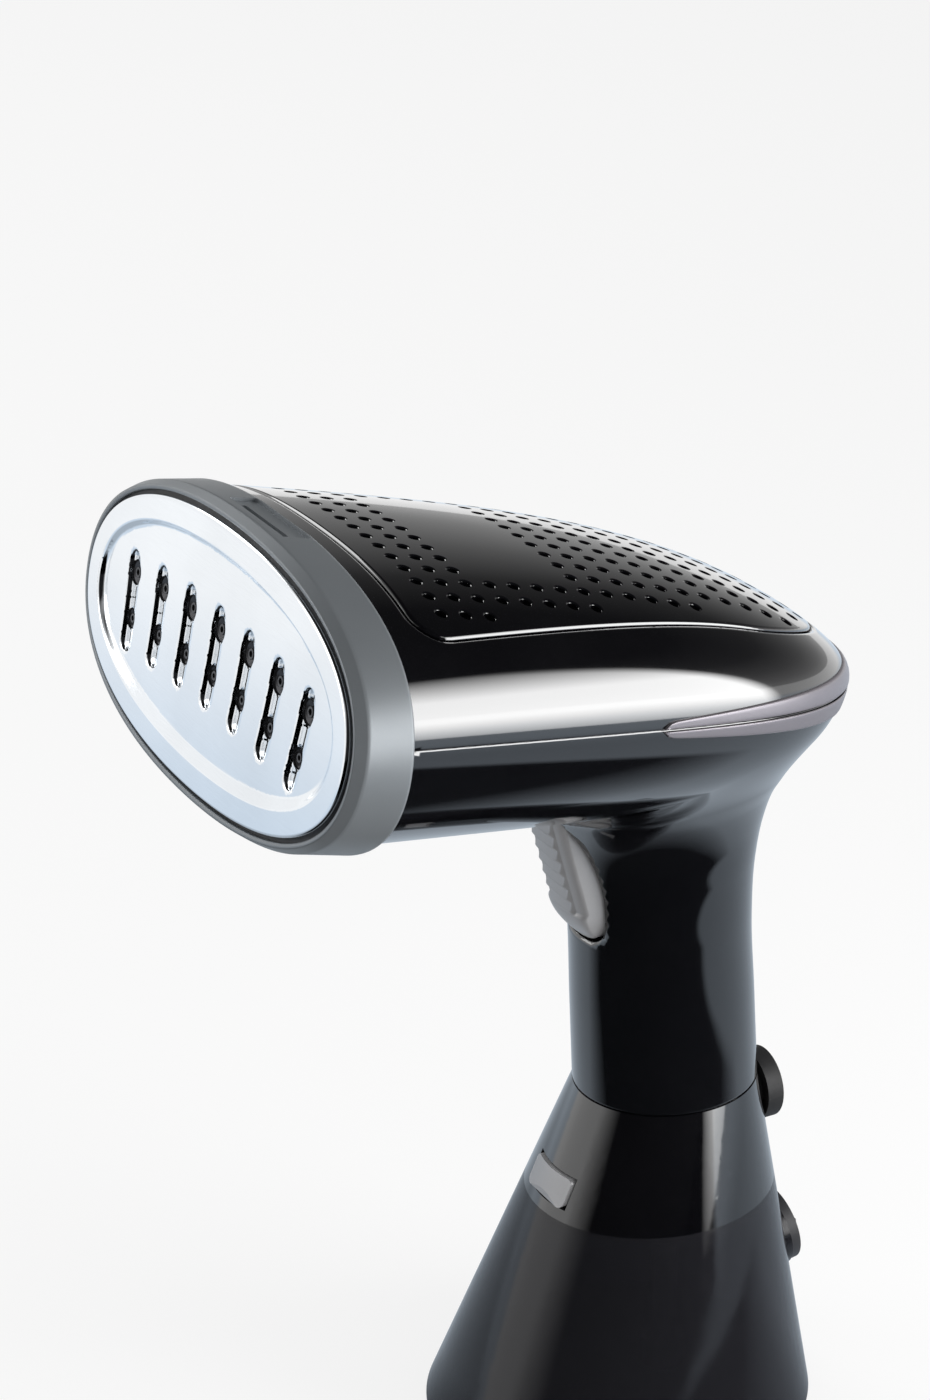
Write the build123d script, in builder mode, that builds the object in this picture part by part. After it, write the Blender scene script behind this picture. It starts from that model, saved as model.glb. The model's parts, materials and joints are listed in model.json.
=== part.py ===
from build123d import *

import os
from math import cos, degrees, radians, sin

# Handheld garment steamer, in millimetres.
# +Z is up, the steam plate faces -Y, and the body mirrors across X = 0.
# The origin is on the underside of the foot pad, below the lower end of the handle.
# The head has its own axis, which runs back from the steam plate and is tilted nose up.
# "Behind" is a distance back along that axis, and "above" is a height square to it.

os.makedirs("parts", exist_ok=True)

# ---------------------------------------------------------------- driving dimensions
# Overall layout
tank_height = 62.0  # floor to the top edge of the water tank
collar_height = 28.0  # fixed collar between the tank and the handle
nose_rise = 135.5  # lower end of the handle up to the middle of the steam plate
nose_reach = 115.8  # handle axis forward to the steam plate
head_tilt = 12.24  # the steam plate looks up by this angle

# Walls and clearances
shell_wall = 2.4
handle_wall = 2.5
base_wall = 2.4
fit_gap = 0.15  # between moulded pieces that plug together
sliding_gap = 0.4  # between a moving piece and its window
pin_clearance = 0.05  # radial, shaft in its bore
seal_gap = 0.25  # seal to the tank, which slides past it

# Head body, as a front size, a narrowing per millimetre behind and a rounded tail
head_length = 158.5
head_half_width = 66.2
head_narrowing = 0.165
head_rise = 26.9  # parting line up to the crest
head_drop = 38.8  # parting line down to the belly
belly_narrowing = 0.035
parting_level = 2.5  # parting line above the head axis
crest_power = 2.5
belly_power = 2.2
head_start = 5.0  # the body solid starts here, inside the front ring
head_tail = 2.0  # flat left at the very end of the tail
least_section = 0.6  # a hollow's section is never lower than this
# How late and how bluntly each size rounds off towards the tail: steepness, fullness
width_fade = (7.5, 2.0)
rise_fade = (3.6, 1.5)
drop_fade = (6.6, 1.6)
# Where the sections stand, as shares of the way from head_start to the tail
section_shares = [0.03, 0.17, 0.30, 0.43, 0.55, 0.66, 0.76, 0.84, 0.90, 0.94, 0.97, 1.0]
seam_behind = 11.9  # rear face of the front ring, on the axis
seam_lean = 3.2  # that face leans back at its lower edge

# Steam plate and the parts behind it, as distances behind the nozzle plane
plate_half_width = 64.5
plate_rise = 29.3
plate_drop = 29.6
plate_level = -1.5
plate_power = 2.25
plate_front = -2.5
plate_thickness = 1.0
plate_skirt = 2.5  # how far back the turned edge of the plate reaches
slot_count = 7
slot_pitch = 14.3
slot_length = 24.0
slot_width = 6.0
slot_fan_radius = 430.0  # the row of slots follows an arc of this radius
slot_level = -1.4  # middle of a slot, above the nozzle axis
nozzle_spacing = 10.6
upper_nozzle_radius = 1.3
lower_nozzle_radius = 1.0

ring_gap = 1.7  # steam plate to the bore of the ring
ring_growth = 3.4  # outer edge of the ring beyond the plate
ring_lip = 2.3  # beyond the plate, at the bevel's inner edge
ring_front = -1.8
ring_bevel = 2.4
ring_rear_half_width = 66.6
ring_rear_rise = 32.6
ring_rear_drop = 34.4
web_front = 4.0
web_thickness = 3.5
spigot_length = 6.0
spigot_wall = 1.5
pocket_length = 27.2  # attachment pocket on top of the ring
pocket_front = 3.2
pocket_rear = 9.8
pocket_depth = 1.0
pocket_slit_width = 1.5
pocket_slit_depth = 2.6

lid_thickness = 1.5
seal_thickness = 0.8
block_inset = 12.6  # heater block inside the plate's outline
block_length = 18.0
chamber_wall = 3.5
chamber_depth = 6.0
insulator_thickness = 1.5
flange_inset = 7.4
flange_thickness = 3.0
web_clearance = 0.4
element_radius = 3.2
element_behind = 16.0
element_half_span = 36.0
element_leg_offset = 6.5
element_bend = 6.0
element_tail = 6.0  # cold ends standing out behind the block
inlet_bore_radius = 1.5
inlet_boss_radius = 4.5
inlet_boss_length = 3.0
hose_bore_radius = 2.5
hose_wall = 1.2
hose_grip = 8.0
thermostat_radius = 8.0
thermostat_height = 9.0
thermostat_offset = 26.0
fuse_radius = 2.0
fuse_length = 12.0

# Top cover with its perforated field
cover_thickness = 2.0
cover_front = 18.0
cover_rear = 148.0
cover_half_width = 51.3
cover_narrowing = 0.19
cover_corner = 7.0
cover_tail_start = 112.0
cover_tail_width = 0.62  # share of the half width kept this far before the rear end:
cover_tail_set = 9.0
hole_pitch = 6.0
hole_radius = 1.25
first_hole_behind = 27.0
hole_rows_each_side = 7
front_columns = 3  # short front band, on every row
blank_until = 7  # the middle rows are bare up to this column
cover_margin = 6.5  # least distance from a hole to the cover's edge
full_rows_from = 4  # rows up to this far out have the bare field
hole_tail_steepness = 2.6  # how late the field of holes rounds off towards the tail
side_margin_eased = 1.5  # the margin is this much less along the straight sides

# Accent strip round the tail
accent_start = 81.3
accent_proud = 0.6
accent_top = 6.3  # above the parting line, at the tail
accent_bottom = 5.0  # below it
accent_groove = 0.5  # between the upper and the lower strip
accent_overrun = 5.0  # the strip's outline runs past the tail by this much

# Screw bosses that hold the two shells together
boss_radius = 4.0
boss_pilot = 1.2
boss_tab = 3.5
front_boss_offset = 54.3
front_boss_behind = 34.0
rear_boss_behind = 146.0
rear_boss_reach = 5.0  # carries the rear boss into the tail's wall
boss_depth = 9.0
shell_screw_head = 2.9
shell_screw_head_height = 2.0
pump_screw_head_radius = 2.43
plunger_spring_pitch = 1.9
shell_screw_length = 11.0

# Handle: height above its lower end, half width, half depth, forward shift
handle_sections = [
    (0.0, 21.1, 23.2, 0.0),
    (23.0, 20.9, 22.9, 1.4),
    (45.0, 20.8, 22.6, 2.7),
    (60.0, 21.2, 23.6, 3.3),
    (71.0, 22.8, 27.0, 4.8),
    (79.0, 26.0, 31.0, 6.5),
    (87.0, 31.0, 36.5, 8.0),
    (94.0, 35.0, 39.5, 10.0),
]
handle_base_radius = 21.1  # half width where the collar takes over
handle_base_depth = 23.2
shelf_height = 8.0  # pump shelf above the handle's lower end
shelf_thickness = 2.0
shelf_back = 13.2  # the leads pass behind the shelf

# Flared base: the cone of the collar and the tank, from the handle down to the floor
flare_width = 25.0
flare_depth = 27.0
flare_shift = 12.0
base_edge = 1.2
collar_spigot = 6.0
collar_spigot_wall = 1.6
collar_floor = 3.0
foot_thickness = 1.5
foot_inset = 5.0
tank_floor = 3.0

# Water path, on one vertical line
water_axis = 1.5  # behind the origin
neck_radius = 12.0
neck_wall = 2.0
neck_length = 10.0
dock_radius = 11.0
dock_length = 8.0
dock_seal_radius = 1.1  # of the seal's own section
dock_seal_above = 3.0  # above the lower end of the dock
pickup_radius = 3.0
pickup_clear_of_floor = 2.0
filter_radius = 5.5
filter_height = 7.0
pickup_top = 74.0

# Pump
coil_height = 30.0
yoke_plate = 1.5
yoke_half = 11.0
core_radius = 4.0
core_above = 7.0
plunger_radius = 2.45
plunger_length = 15.0
plunger_stroke = 2.0
pump_screw_offset = 7.0
spring_wire = 0.3
screw_radius = 1.5
screw_head_radius = 2.7
screw_head_height = 2.0

# Trigger, with heights above the handle's lower end and depths behind its axis
trigger_half_width = 8.6
trigger_tip = 45.2
trigger_top = 82.0
trigger_lean = 15.6
trigger_face = -28.4  # front of the thumb-worn face, at the tip end
trigger_depth = 9.0
trigger_roundness = 0.32  # depth of the rounded thumb face, as a share of the half width
# Rounded lower end: height above the tip, share of the width, setbacks of front and rear
trigger_tip_sections = [
    (0.0, 0.62, 2.9, 4.2),
    (1.2, 0.80, 1.3, 2.4),
    (3.5, 0.93, 0.4, 0.6),
    (7.0, 1.0, 0.0, 0.0),
]
trigger_pivot_height = 82.0
trigger_pivot_depth = -22.0
trigger_hub_radius = 4.2
trigger_pin_radius = 1.5
trigger_pin_length = 26.0
ear_thickness = 2.6
nub_below_pivot = 24.0
nub_radius = 2.0
nub_reach = 5.6
spring_below_pivot = 12.0
trigger_spring_radius = 2.2
trigger_spring_pitch = 1.7
seat_rib_front = -13.0
seat_rib_thickness = 1.8
seat_rib_height = 7.5

# Switch behind the trigger
switch_width = 6.4
switch_height = 20.0
switch_depth = 7.0
switch_button_radius = 1.4
switch_button_outside = 3.8
switch_button_inside = 2.1
switch_bore_share = 0.85  # of the switch's depth

# Tank release button on the front of the collar
button_width = 16.0
button_height = 7.0
button_above_tank = 6.5
button_travel = 2.5
button_proud = 0.8
button_stem_half = 4.0
catch_offset = 6.5  # two catch prongs on the tank, this far from the middle
catch_height = 6.0
catch_thickness = 2.0
button_reach = 12.0  # front face back to the end of the stem
spring_room = 6.0  # stem at full travel to its stop
stop_thickness = 2.0
button_spring_radius = 2.0
button_spring_pitch = 1.6
button_corner = 1.5
stop_width = 12.0

# Filler plug in the back of the tank
plug_height = 36.0
plug_hole_radius = 7.0
plug_head_radius = 10.0
plug_head_height = 2.5
plug_stem_length = 5.0
plug_pad_height = 0.8  # flat pad round the hole, above the tank's wall
plug_pad_root = 2.0  # and this far down into the wall
plug_tab_height = 3.0
plug_tab_thickness = 2.0

# Cord inlet at the back of the collar
gland_above_tank = 17.5
cord_bore_radius = 3.6
gland_radius = 6.5
gland_flange_radius = 9.0
gland_flange = 2.0

# Terminal block and leads
terminal_width = 16.0
terminal_depth = 8.0
terminal_height = 7.5
terminal_back = 21.8
lead_radius = 1.2
lead_half_spacing = 4.0
thermostat_lead_bend = 12.0
fuse_lead_bend = 6.0

# ---------------------------------------------------------------- frames
handle_foot = tank_height + collar_height
nose_height = handle_foot + nose_rise
nose = (0, -nose_reach, nose_height)
tilt_cos = cos(radians(head_tilt))
tilt_sin = sin(radians(head_tilt))

# Square to the head axis: sketch x across, sketch y up, normal out through the plate
face_plane = Plane(origin=nose, x_dir=(1, 0, 0), z_dir=(0, -tilt_cos, tilt_sin))
# Seen from above the head: sketch x across, sketch y back along the axis
plan_plane = Plane(origin=nose, x_dir=(1, 0, 0), z_dir=(0, tilt_sin, tilt_cos))
# Seen from the side of the head: sketch x back along the axis, sketch y up
side_plane = Plane(origin=nose, x_dir=(0, tilt_cos, -tilt_sin), z_dir=(1, 0, 0))
parting_plane = plan_plane.offset(parting_level)
seam_point = (0, seam_behind * tilt_cos - nose_reach, nose_height - seam_behind * tilt_sin)
seam_angle = radians(head_tilt - seam_lean)
seam_plane = Plane(origin=seam_point, x_dir=(1, 0, 0), z_dir=(0, cos(seam_angle), -sin(seam_angle)))


def station(behind):
    """Section plane across the head, this far behind the nozzle plane."""
    return face_plane.offset(-behind)


def head_point(across, behind, above):
    """Point given in the head's own directions."""
    back = behind * tilt_cos + above * tilt_sin - nose_reach
    return (across, back, nose_height - behind * tilt_sin + above * tilt_cos)


# ---------------------------------------------------------------- shared outlines
def corner_pull(power):
    """How far a quarter's handles reach, for the fullness of a rounded corner."""
    return (8 * 2 ** (-1 / power) - 4) / 3


def quarter(side, way, half_width, height, level, power):
    """One curved quarter of an outline, from its widest point to its crest."""
    pull = corner_pull(power)
    Bezier(
        (side * half_width, level),
        (side * half_width, level + way * pull * height),
        (side * pull * half_width, level + way * height),
        (0, level + way * height),
    )


def rounded_outline(half_width, rise, drop, level, upper_power, lower_power):
    """Closed outline of four curved quarters, widest at the given level."""
    with BuildLine() as outline:
        for side in (1, -1):
            quarter(side, 1, half_width, rise, level, upper_power)
            quarter(side, -1, half_width, drop, level, lower_power)
    make_face(outline.edges())


def nose_outline(growth):
    """The steam plate's outline, grown or shrunk."""
    rounded_outline(
        plate_half_width + growth,
        plate_rise + growth,
        plate_drop + growth,
        plate_level,
        plate_power,
        plate_power,
    )


def round_off(share, steepness, fullness):
    """How much of a size is left at this share of the head's length."""
    return (1 - share**steepness) ** (1 / fullness)


def head_section(behind, inset):
    """Half width, rise and drop of the head's section, inset by a wall."""
    share = behind / head_length
    width = (head_half_width - head_narrowing * behind) * round_off(share, *width_fade)
    rise = head_rise * round_off(share, *rise_fade)
    drop = (head_drop - belly_narrowing * behind) * round_off(share, *drop_fade)
    return width - inset, max(rise - inset, least_section), max(drop - inset, least_section)


def half_outline(half_width, height, power, way):
    """Upper or lower half of the head's section, closed by a line at the parting."""
    with BuildLine() as outline:
        quarter(1, way, half_width, height, parting_level, power)
        quarter(-1, way, half_width, height, parting_level, power)
        Line((-half_width, parting_level), (half_width, parting_level))
    make_face(outline.edges())


def head_half(inset, way):
    """Solid of the head above or below the parting line, inset all round."""
    tail = head_length - head_tail
    with BuildPart() as body:
        for share in section_shares:
            behind = head_start + (tail - head_start) * share
            width, rise, drop = head_section(behind, inset)
            with BuildSketch(station(behind - inset)):
                if way > 0:
                    half_outline(width, rise, crest_power, way)
                else:
                    half_outline(width, drop, belly_power, way)
        loft(ruled=True)
    return body.part


def handle_body(inset, below=0.0):
    """Solid of the handle and its flared neck, inset all round."""
    with BuildPart() as body:
        for height, half_width, half_depth, shift in handle_sections:
            with BuildSketch(Plane.XY.offset(handle_foot + height)):
                with Locations((0, -shift)):
                    Ellipse(half_width - inset, half_depth - inset)
        loft(ruled=True)
        if below > 0:
            with BuildSketch(Plane.XY.offset(handle_foot)):
                Ellipse(handle_base_radius - inset, handle_base_depth - inset)
            extrude(amount=-below)
    return body.part


def base_section(height, inset):
    """Half width, half depth and forward shift of the flared base at a height."""
    share = (handle_foot - height) / handle_foot
    half_width = handle_base_radius + flare_width * share
    half_depth = handle_base_depth + flare_depth * share
    return half_width - inset, half_depth - inset, flare_shift * share


def base_body(low, high, inset):
    """Cone of the flared base between two heights, inset all round."""
    with BuildPart() as body:
        for height in (low, high):
            half_width, half_depth, shift = base_section(height, inset)
            with BuildSketch(Plane.XY.offset(height)):
                with Locations((0, -shift)):
                    Ellipse(half_width, half_depth)
        loft()
    return body.part


def cover_outline(growth):
    """Plan outline of the top cover: straight front, tapering sides, round tail."""
    front = cover_front - growth
    front_half = cover_half_width + growth
    tail_half = front_half - cover_narrowing * (cover_tail_start - cover_front)
    side_way = (-cover_narrowing, 1)
    with BuildLine() as outline:
        edge = Line((0, front), (front_half, front))
        side = Line(edge @ 1, (tail_half, cover_tail_start))
        tail = Spline(
            side @ 1,
            (tail_half * cover_tail_width, cover_rear + growth - cover_tail_set),
            (0, cover_rear + growth),
            tangents=[side_way, (-1, 0)],
        )
        mirror(about=Plane.YZ)
    make_face(outline.edges())
    front_corners = [v for v in vertices() if abs(v.Y - front) < 0.01 and abs(v.X) > 1]
    fillet(front_corners, radius=cover_corner)


def coil_spring(radius, wire, height, pitch):
    """Helical wire standing on the current workplane's origin."""
    with BuildPart(mode=Mode.PRIVATE) as spring:
        with BuildLine():
            turns = Helix(pitch=pitch, height=height, radius=radius)
        with BuildSketch(Plane(origin=turns @ 0, z_dir=turns % 0)):
            Circle(wire)
        sweep(path=turns, is_frenet=True)
    return spring.part


def tube_along(points, radii, outer, inner=0.0):
    """Round tube or rod along straight runs joined by tangent arcs."""
    with BuildPart() as tube:
        with BuildLine():
            route = FilletPolyline(*points, radius=radii)
        with BuildSketch(Plane(origin=route @ 0, z_dir=route % 0)):
            Circle(outer)
            if inner > 0:
                Circle(inner, mode=Mode.SUBTRACT)
        sweep(path=route)
    return tube.part


def save(piece, name):
    """Label a finished piece and write it as a STEP file."""
    piece.part.label = name
    export_step(piece.part, f"parts/{name}.step")


head_top, head_bottom = head_half(0, 1), head_half(0, -1)
top_cavity, bottom_cavity = head_half(shell_wall, 1), head_half(shell_wall, -1)
under_cover = head_half(cover_thickness, 1)
handle_skin = handle_body(0)
handle_cavity = handle_body(handle_wall, below=1.0)

# ---------------------------------------------------------------- steam plate
nozzle_rows = [
    (nozzle_spacing / 2, upper_nozzle_radius),
    (-nozzle_spacing / 2, lower_nozzle_radius),
]


def slot_frame(index):
    """Across, level and lean of one slot of the fanned row."""
    across = (index - (slot_count - 1) / 2) * slot_pitch
    sag = across**2 / (2 * slot_fan_radius)
    return across, -sag, -across / slot_fan_radius


def each_slot():
    """Locations of the slots on a sketch square to the head axis."""
    frames = [slot_frame(k) for k in range(slot_count)]
    return [
        Location((across, level + slot_level, 0), (0, 0, degrees(lean)))
        for across, level, lean in frames
    ]


def each_nozzle(offset):
    """Sketch positions of one row of steam nozzles."""
    frames = [slot_frame(k) for k in range(slot_count)]
    return [
        (across - offset * sin(lean), level + offset * cos(lean))
        for across, level, lean in frames
    ]


plate_back = plate_front + plate_thickness
cup_back = plate_thickness
with BuildPart() as steam_plate:
    with BuildSketch(station(plate_skirt)):
        nose_outline(0)
    extrude(amount=plate_skirt - plate_front)
    with BuildSketch(station(plate_skirt)):
        nose_outline(-plate_thickness)
    extrude(amount=plate_skirt - plate_back, mode=Mode.SUBTRACT)
    with BuildSketch(station(cup_back)):
        with Locations(*each_slot()):
            SlotOverall(slot_length, slot_width, rotation=90)
    extrude(amount=cup_back - plate_back)
    with BuildSketch(station(0)):
        with Locations(*each_slot()):
            SlotOverall(slot_length - 2 * plate_thickness, slot_width - 2 * plate_thickness, rotation=90)
    extrude(amount=-plate_front, mode=Mode.SUBTRACT)
    for offset, radius in nozzle_rows:
        with BuildSketch(station(cup_back)):
            with Locations(*each_nozzle(offset)):
                Circle(radius)
        extrude(amount=cup_back, mode=Mode.SUBTRACT)
save(steam_plate, "steam_plate")

with BuildPart() as plate_gasket:
    with BuildSketch(station(web_front)):
        nose_outline(ring_gap)
    extrude(amount=web_front - plate_front - ring_gap)
    with BuildSketch(station(plate_skirt)):
        nose_outline(0)
    extrude(amount=plate_skirt - plate_front, mode=Mode.SUBTRACT)
    with BuildSketch(station(web_front)):
        nose_outline(-plate_thickness - ring_gap)
    extrude(amount=web_front, mode=Mode.SUBTRACT)
save(plate_gasket, "plate_gasket")

# ---------------------------------------------------------------- front ring
web_back = web_front + web_thickness
spigot_back = seam_behind + spigot_length
spigot_width, spigot_rise, spigot_drop = head_section(spigot_back + shell_wall, shell_wall + fit_gap)


def spigot_outline(inset):
    """Outline of the ring's spigot, which plugs into the two shells."""
    rounded_outline(
        spigot_width - inset,
        spigot_rise - inset,
        spigot_drop - inset,
        parting_level,
        crest_power,
        belly_power,
    )


pocket_top = plate_level + plate_rise + ring_growth
with BuildPart() as front_ring:
    with BuildSketch(station(ring_front)):
        nose_outline(ring_lip)
    with BuildSketch(station(ring_front + ring_bevel)):
        nose_outline(ring_growth)
    with BuildSketch(station(spigot_back)):
        rounded_outline(
            ring_rear_half_width,
            ring_rear_rise,
            ring_rear_drop,
            plate_level,
            crest_power,
            plate_power,
        )
    loft(ruled=True)
    split(bisect_by=seam_plane, keep=Keep.BOTTOM)
    with BuildSketch(station(spigot_back)):
        spigot_outline(0)
    extrude(amount=spigot_length + flange_thickness)
    with BuildSketch(station(web_front)):
        nose_outline(ring_gap)
    extrude(amount=web_front - ring_front, mode=Mode.SUBTRACT)
    with BuildSketch(station(spigot_back)):
        spigot_outline(spigot_wall)
    extrude(amount=spigot_back - web_back, mode=Mode.SUBTRACT)
    with BuildSketch(station(web_back)):
        nose_outline(web_clearance - block_inset)
    extrude(amount=web_thickness, mode=Mode.SUBTRACT)
    with BuildSketch(plan_plane.offset(pocket_top - pocket_depth)):
        with Locations((0, (pocket_front + pocket_rear) / 2)):
            Rectangle(pocket_length, pocket_rear - pocket_front)
    extrude(amount=2 * ring_growth, mode=Mode.SUBTRACT)
    with BuildSketch(plan_plane.offset(pocket_top - pocket_depth - pocket_slit_depth)):
        with Locations((0, pocket_front + pocket_slit_width)):
            Rectangle(pocket_length - 4 * pocket_slit_width, pocket_slit_width)
    extrude(amount=pocket_slit_depth + pocket_depth, mode=Mode.SUBTRACT)

# ---------------------------------------------------------------- heater stack
seal_back = plate_thickness + lid_thickness + seal_thickness
flange_front = web_back + insulator_thickness
flange_back = flange_front + flange_thickness
block_back = seal_back + block_length
heater_screw_growth = -(flange_inset + block_inset) / 2
heater_screw_share = 0.735  # where a diagonal meets the rounded outline
heater_screws_at = [
    (
        side * heater_screw_share * (plate_half_width + heater_screw_growth),
        plate_level + way * heater_screw_share * (height + heater_screw_growth),
    )
    for side in (-1, 1)
    for way, height in ((1, plate_rise), (-1, plate_drop))
]
heater_screw_length = flange_thickness + insulator_thickness + web_thickness - 1.0

with BuildPart(mode=Mode.PRIVATE) as heater_screw_set:
    with BuildSketch(station(flange_back)):
        with Locations(*heater_screws_at):
            Circle(screw_radius)
    extrude(amount=heater_screw_length)
    with BuildSketch(station(flange_back)):
        with Locations(*heater_screws_at):
            Circle(screw_head_radius)
    extrude(amount=-screw_head_height)
save(heater_screw_set, "heater_screws")

with front_ring:
    add(heater_screw_set.part, mode=Mode.SUBTRACT)
save(front_ring, "front_ring")

element_out = block_back + element_tail
element_path = [
    head_point(-element_half_span, element_out, plate_level + element_leg_offset),
    head_point(-element_half_span, element_behind, plate_level + element_leg_offset),
    head_point(element_half_span + element_bend, element_behind, plate_level + element_leg_offset),
    head_point(element_half_span + element_bend, element_behind, plate_level - element_leg_offset),
    head_point(-element_half_span, element_behind, plate_level - element_leg_offset),
    head_point(-element_half_span, element_out, plate_level - element_leg_offset),
]
element_rod = tube_along(element_path, element_bend, element_radius)
with BuildPart() as heating_element:
    add(element_rod)
save(heating_element, "heating_element")

with BuildPart() as chamber_lid:
    with BuildSketch(station(plate_thickness + lid_thickness)):
        nose_outline(-block_inset)
    extrude(amount=lid_thickness)
    for offset, radius in nozzle_rows:
        with BuildSketch(station(plate_thickness + lid_thickness)):
            with Locations(*each_nozzle(offset)):
                Circle(radius)
        extrude(amount=lid_thickness, mode=Mode.SUBTRACT)
save(chamber_lid, "chamber_lid")

with BuildPart() as chamber_seal:
    with BuildSketch(station(seal_back)):
        nose_outline(-block_inset)
    extrude(amount=seal_thickness)
    with BuildSketch(station(seal_back)):
        nose_outline(-block_inset - chamber_wall)
    extrude(amount=seal_thickness, mode=Mode.SUBTRACT)
save(chamber_seal, "chamber_seal")

boss_end = block_back + inlet_boss_length
nipple_end = boss_end + hose_grip
with BuildPart() as heater_block:
    with BuildSketch(station(block_back)):
        nose_outline(-block_inset)
    extrude(amount=block_length)
    with BuildSketch(station(flange_back)):
        nose_outline(-flange_inset)
    extrude(amount=flange_thickness)
    with BuildSketch(station(seal_back + chamber_depth)):
        nose_outline(-block_inset - chamber_wall)
    extrude(amount=chamber_depth, mode=Mode.SUBTRACT)
    with BuildSketch(station(boss_end)):
        with Locations((0, plate_level)):
            Circle(inlet_boss_radius)
    extrude(amount=inlet_boss_length)
    with BuildSketch(station(nipple_end)):
        with Locations((0, plate_level)):
            Circle(hose_bore_radius)
    extrude(amount=hose_grip)
    with BuildSketch(station(nipple_end)):
        with Locations((0, plate_level)):
            Circle(inlet_bore_radius)
    extrude(amount=nipple_end - seal_back - chamber_depth / 2, mode=Mode.SUBTRACT)
    add(element_rod, mode=Mode.SUBTRACT)
    add(heater_screw_set.part, mode=Mode.SUBTRACT)
save(heater_block, "heater_block")

with BuildPart() as heater_insulator:
    with BuildSketch(station(flange_front)):
        nose_outline(-flange_inset)
    extrude(amount=insulator_thickness)
    with BuildSketch(station(flange_front)):
        nose_outline(web_clearance - block_inset)
    extrude(amount=insulator_thickness, mode=Mode.SUBTRACT)
    add(heater_screw_set.part, mode=Mode.SUBTRACT)
save(heater_insulator, "heater_insulator")

thermostat_tag = 4.0
with BuildPart() as thermostat:
    with BuildSketch(station(block_back)):
        with Locations((-thermostat_offset / 2, plate_level)):
            Circle(thermostat_radius)
    extrude(amount=-thermostat_height)
    with BuildSketch(station(block_back + thermostat_height)):
        with Locations((-thermostat_offset / 2 - thermostat_tag, plate_level)):
            Rectangle(1.0, thermostat_tag)
        with Locations((-thermostat_offset / 2 + thermostat_tag, plate_level)):
            Rectangle(1.0, thermostat_tag)
    extrude(amount=-thermostat_tag)
save(thermostat, "thermostat")

fuse_clip_wall = 1.0
fuse_behind = block_back + fuse_radius + fuse_clip_wall
fuse_plane = side_plane.offset(thermostat_offset)
with BuildPart() as thermal_fuse:
    with BuildSketch(fuse_plane.offset(-fuse_length / 2)):
        with Locations((fuse_behind, plate_level)):
            Circle(fuse_radius)
    extrude(amount=fuse_length)
save(thermal_fuse, "thermal_fuse")

with BuildPart() as fuse_clip:
    with BuildSketch(fuse_plane.offset(-fuse_length / 4)):
        with Locations((fuse_behind, plate_level)):
            Circle(fuse_radius + fuse_clip_wall)
            Circle(fuse_radius, mode=Mode.SUBTRACT)
        with Locations((block_back + fuse_clip_wall / 2, plate_level)):
            Rectangle(fuse_clip_wall, 4 * fuse_radius + 2 * fuse_clip_wall)
        with Locations((fuse_behind, plate_level)):
            Circle(fuse_radius, mode=Mode.SUBTRACT)
    extrude(amount=fuse_length / 2)
save(fuse_clip, "fuse_clip")

# ---------------------------------------------------------------- top cover
def cover_half_at(behind):
    """Half width of the cover's tapering side at this distance behind the plate."""
    return cover_half_width - cover_narrowing * (behind - cover_front)


def cover_holes():
    """Plan positions of the perforations: a square grid, bare in the middle."""
    spots = []
    columns = int((cover_rear - first_hole_behind) / hole_pitch)
    tail_length = cover_rear - cover_tail_start
    for row in range(-hole_rows_each_side, hole_rows_each_side + 1):
        for column in range(columns + 1):
            across = row * hole_pitch
            behind = first_hole_behind + column * hole_pitch
            bare = abs(row) <= full_rows_from and front_columns <= column < blank_until
            limit = cover_half_at(behind)
            if behind > cover_tail_start:
                share = min((behind - cover_tail_start) / tail_length, 1)
                limit = cover_half_at(cover_tail_start) * round_off(share, hole_tail_steepness, 2)
            else:
                limit += side_margin_eased
            if not bare and abs(across) <= limit - cover_margin:
                spots.append((across, behind))
    return spots


with BuildPart() as top_cover:
    add(head_top)
    add(under_cover, mode=Mode.SUBTRACT)
    with BuildSketch(plan_plane.offset(parting_level + 2)):
        cover_outline(0)
    extrude(amount=head_rise + 2, mode=Mode.INTERSECT)
    with BuildSketch(plan_plane.offset(parting_level + 2)):
        with Locations(*cover_holes()):
            Circle(hole_radius)
    extrude(amount=head_rise + 2, mode=Mode.SUBTRACT)
save(top_cover, "top_cover")

# ---------------------------------------------------------------- accent strip
accent_tail = head_length + accent_overrun


def accent_strip(height, way, skin):
    """Tapering strip laid on the skin, above or below the parting line."""
    start_level = parting_level + way * accent_groove / 2
    with BuildPart() as strip:
        with BuildSketch(side_plane.offset(-head_half_width)):
            with BuildLine():
                Polyline(
                    (accent_start, start_level),
                    (accent_tail, parting_level + way * height),
                    (accent_tail, start_level),
                    (accent_start, start_level),
                )
            make_face()
        extrude(amount=2 * head_half_width)
        add(head_half(-accent_proud, way), mode=Mode.INTERSECT)
        add(skin, mode=Mode.SUBTRACT)
    return strip


accent_upper = accent_strip(accent_top, 1, head_top)
save(accent_upper, "accent_upper")

accent_lower = accent_strip(accent_bottom, -1, head_bottom)
save(accent_lower, "accent_lower")

# ---------------------------------------------------------------- shells
front_bosses = [(side * front_boss_offset, front_boss_behind) for side in (-1, 1)]
bosses_at = [*front_bosses, (0, rear_boss_behind)]
tab_top = parting_level + boss_tab

with BuildPart(mode=Mode.PRIVATE) as shell_screw_set:
    with BuildSketch(plan_plane.offset(tab_top)):
        with Locations(*bosses_at):
            Circle(shell_screw_head)
    extrude(amount=shell_screw_head_height)
    with BuildSketch(plan_plane.offset(tab_top)):
        with Locations(*bosses_at):
            Circle(boss_pilot)
    extrude(amount=-shell_screw_length)
save(shell_screw_set, "shell_screws")


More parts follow.
